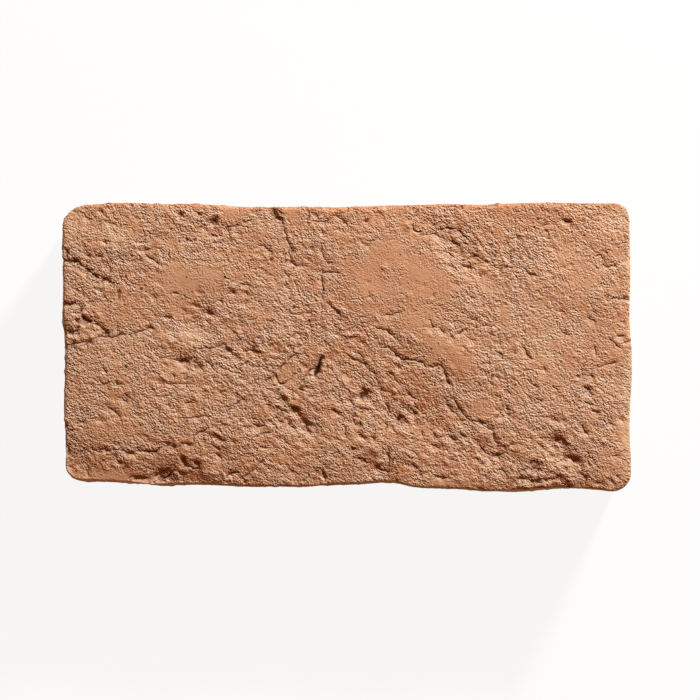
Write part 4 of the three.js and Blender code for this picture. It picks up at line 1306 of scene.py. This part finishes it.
# One pinhole at most in each cell, and the cell's random colour gives its radius, as a share
# of the cell: about one cell in five has any, up to 0.7 mm. The cells fill space, so a pinhole
# only shows where its middle lies close to the surface, and mostly smaller than that.
PINHOLE_CELL = 3.2  # mm
NO_PINHOLE = 0.78  # the chance that a cell has none
cells = add("TexVoronoi", {"Vector": place, "Scale": 1000 / PINHOLE_CELL}).node.outputs
chance = add("SeparateColor", [cells["Color"]])
radius = add("Math", [chance, NO_PINHOLE], operation="SUBTRACT")
pinhole = add("Math", [radius, cells["Distance"]], operation="SUBTRACT")
pinhole = {"Value": pinhole, "From Min": -0.01, "From Max": 0.03}
pinhole = add("MapRange", pinhole, interpolation_type="SMOOTHSTEP")
for share, depth in ((crack, LIP_SHARE), (hole, HOLE_DEPTH), (pinhole, PINHOLE_DEPTH)):
    relief = add("Math", [share, -depth, relief], operation="MULTIPLY_ADD")
bump = add("Bump", {"Height": relief, "Strength": 1.0, "Distance": 0.001})

# %% Colour by lean, sand and depth, much of it painted light and shade
LEAN_SHARE = 0.66  # how strongly the colour is painted by the way to the lamp
LEVEL_CLAY = 0.41  # where level clay lies between the two slopes' colours
CRUMB_SHADE_SHARE, SAND_AND_LIGHT_SHARE = 0.08, 0.07
UNLIT_DARK, LEATHERY_COVER = 0.85, 0.35
tilt = add("VectorMath", [bump, add("NewGeometry", out="Normal")], operation="SUBTRACT")
toward = add("VectorMath", [tilt, tuple(LAMP_WAY)], out="Value", operation="DOT_PRODUCT")
leaning = add("Math", [toward, at["lean"]], operation="ADD")
level = add("Math", [leaning, LEAN_SHARE, LEVEL_CLAY], operation="MULTIPLY_ADD")
# The grain's crests are painted a little paler and its low spots redder: painted shade.
level = add("Math", [at["crumb"], CRUMB_SHADE_SHARE, level], operation="MULTIPLY_ADD")
# Redder and paler by the places set above: bare clay and sand in part, painted light and shade in part.
level = add("Math", [at["sanded"], SAND_AND_LIGHT_SHARE, level], operation="MULTIPLY_ADD")
colour = add("ValToRGB", [level])
stops = colour.node.color_ramp.elements
stops[0].position, stops[0].color = 0.2, linear(FAR_SIDE_CLAY)
stops[1].position, stops[1].color = 0.85, linear(LAMP_SIDE_CLAY)
stops.new(0.5).color = linear(BARE_CLAY)

# The palest places get a yellowish cover: sand in part, and in part a painted highlight on rims and pit
# walls that face the lamp.
dust_and_highlight = {"Value": at["sanded"], "From Min": 0.6, "From Max": 1.5, "To Max": 0.4}
dust_and_highlight = add("MapRange", dust_and_highlight, interpolation_type="SMOOTHSTEP")
# Folds, crack lines and pit rims are painted towards dark brown: painted shade.
painted_crease_shade = add("Math", [hole, 0.3, at["fold"]], operation="MULTIPLY_ADD")
painted_crease_shade = add("Math", [crack, 0.5, painted_crease_shade], operation="MULTIPLY_ADD", use_clamp=True)
# Deep hollows and pinholes are painted near black: painted shade.
unlit = {"Value": at["hollow"], "From Min": 1.2, "From Max": 2.4}
unlit = add("MapRange", unlit, interpolation_type="SMOOTHSTEP")
unlit = add("Math", [unlit, pinhole], operation="MAXIMUM")
unlit = add("Math", [unlit, UNLIT_DARK], operation="MULTIPLY")
leathery = add("Math", [skin, LEATHERY_COVER], operation="MULTIPLY")
covers = ((leathery, LEATHERY_CLAY), (painted_crease_shade, FOLD_SHADE_CLAY), (dust_and_highlight, DUST_AND_HIGHLIGHT_CLAY), (unlit, PIT_SHADE_CLAY))
for share, shade in covers:
    colour = add("Mix", {0: share, 6: colour, 7: linear(shade)}, out=2, data_type="RGBA")
finish = {"Base Color": colour, "Normal": bump, "Roughness": 0.95, "Specular IOR Level": 0.0}
add("OutputMaterial", {"Surface": add("BsdfPrincipled", finish)})
brick.data.materials.append(clay)
print("fired clay:", len(clay_tree.nodes), "nodes")

# %% [markdown]
# ## The floor
# The brick lies on white paper. The paper is bright to the eye and still dull as a lamp, or
# it would flood the brick from below: to the camera, and in reflections, most of it glows at
# plain white, and to every other ray it is matt paper. The matt rest keeps a faint shadow.

# %% Floor
FLOOR_HALF = 3.0  # metres
PAPER, GLOW_SHARE = "#f4f4f2", 0.9


def seen_directly(tree):
    """1 for a ray from the camera, off something glossy or through something clear, else 0."""
    rays = add_node(tree, "LightPath").node.outputs
    seen = rays["Is Camera Ray"]
    for name in ("Is Glossy Ray", "Is Transmission Ray"):
        seen = add_node(tree, "Math", [seen, rays[name]], operation="MAXIMUM")
    return seen


corners = [(x * FLOOR_HALF, y * FLOOR_HALF, 0) for x, y in ((-1, -1), (1, -1), (1, 1), (-1, 1))]
floor_mesh = bpy.data.meshes.new("floor")
floor_mesh.from_pydata(corners, [], [(0, 1, 2, 3)])
paper, tree = empty_material("matt_white_paper")
share = add_node(tree, "Math", [seen_directly(tree), GLOW_SHARE], operation="MULTIPLY")
matt = add_node(tree, "BsdfDiffuse", {"Color": linear(PAPER)})
glow = add_node(tree, "Emission", {"Strength": 1.0})
add_node(tree, "OutputMaterial", {"Surface": add_node(tree, "MixShader", [share, matt, glow])})
floor_mesh.materials.append(paper)
floor = bpy.data.objects.new("floor", floor_mesh)
bpy.context.scene.collection.objects.link(floor)
print("floor, m:", 2 * FLOOR_HALF)

# %% [markdown]
# ## The light
# One softbox stands low at the upper right, so every crumb and fold throws a short soft
# shadow. A dim warm surround fills those shadows, as the light does that other bricks and the
# clay itself throw back into them. The surround is plain white to the camera.

# %% Light
LAMP_HEIGHT = math.radians(27)
LAMP_DISTANCE, LAMP_SIZE, LAMP_WATTS = 1.6, 0.2, 39.0
LAMP_COLOUR = (0.98, 1, 1.04)
FILL_COLOUR, FILL_STRENGTH = (1, 0.66, 0.36, 1), 0.3

lamp = bpy.data.lights.new("softbox", "AREA")
lamp.shape, lamp.size, lamp.energy, lamp.color = "DISK", LAMP_SIZE, LAMP_WATTS, LAMP_COLOUR
softbox = bpy.data.objects.new("softbox", lamp)
bpy.context.scene.collection.objects.link(softbox)
flat = math.cos(LAMP_HEIGHT)
way = [math.cos(LAMP_AZIMUTH) * flat, math.sin(LAMP_AZIMUTH) * flat, math.sin(LAMP_HEIGHT)]
softbox.location = np.array([0, 0, THICKNESS / 1000]) + np.array(way) * LAMP_DISTANCE
softbox.rotation_euler = (math.pi / 2 - LAMP_HEIGHT, 0, LAMP_AZIMUTH + math.pi / 2)

world = bpy.data.worlds.new("studio")
world.use_nodes = True
tree = world.node_tree
tree.nodes.clear()
fill = add_node(tree, "Background", {"Color": FILL_COLOUR, "Strength": FILL_STRENGTH})
white = add_node(tree, "Background", {"Color": (1, 1, 1, 1), "Strength": 1.0})
sky = add_node(tree, "MixShader", [seen_directly(tree), fill, white])
add_node(tree, "OutputWorld", {"Surface": sky})
bpy.context.scene.world = world
print("lamp at, m:", [round(c, 2) for c in softbox.location])

# %% [markdown]
# ## The camera
# It looks straight down on the moulded face from far off through a long lens, so the sides
# barely show. Its distance follows from how many millimetres one pixel of the render spans.

# %% Camera
LENS, SENSOR, FAR_CLIP = 180.0, 36.0, 20  # mm, mm, m
FRAME_PIXELS, MM_PER_PIXEL = 700, 0.4192
MOULD_PIXEL = (346.5, 347.5)  # where the middle of the form comes in the render

camera = bpy.data.cameras.new("camera")
camera.lens, camera.sensor_width, camera.clip_end = LENS, SENSOR, FAR_CLIP
side = (FRAME_PIXELS / 2 - MOULD_PIXEL[0]) * MM_PER_PIXEL - MOULD_CENTRE[0]
up = (MOULD_PIXEL[1] - FRAME_PIXELS / 2) * MM_PER_PIXEL - MOULD_CENTRE[1]
distance = FRAME_PIXELS * MM_PER_PIXEL * LENS / SENSOR
viewer = bpy.data.objects.new("camera", camera)
viewer.location = (side / 1000, up / 1000, (THICKNESS + distance) / 1000)
bpy.context.scene.collection.objects.link(viewer)
bpy.context.scene.camera = viewer
bpy.context.scene.view_settings.view_transform = "Standard"
print("camera, m:", [round(c, 3) for c in viewer.location])
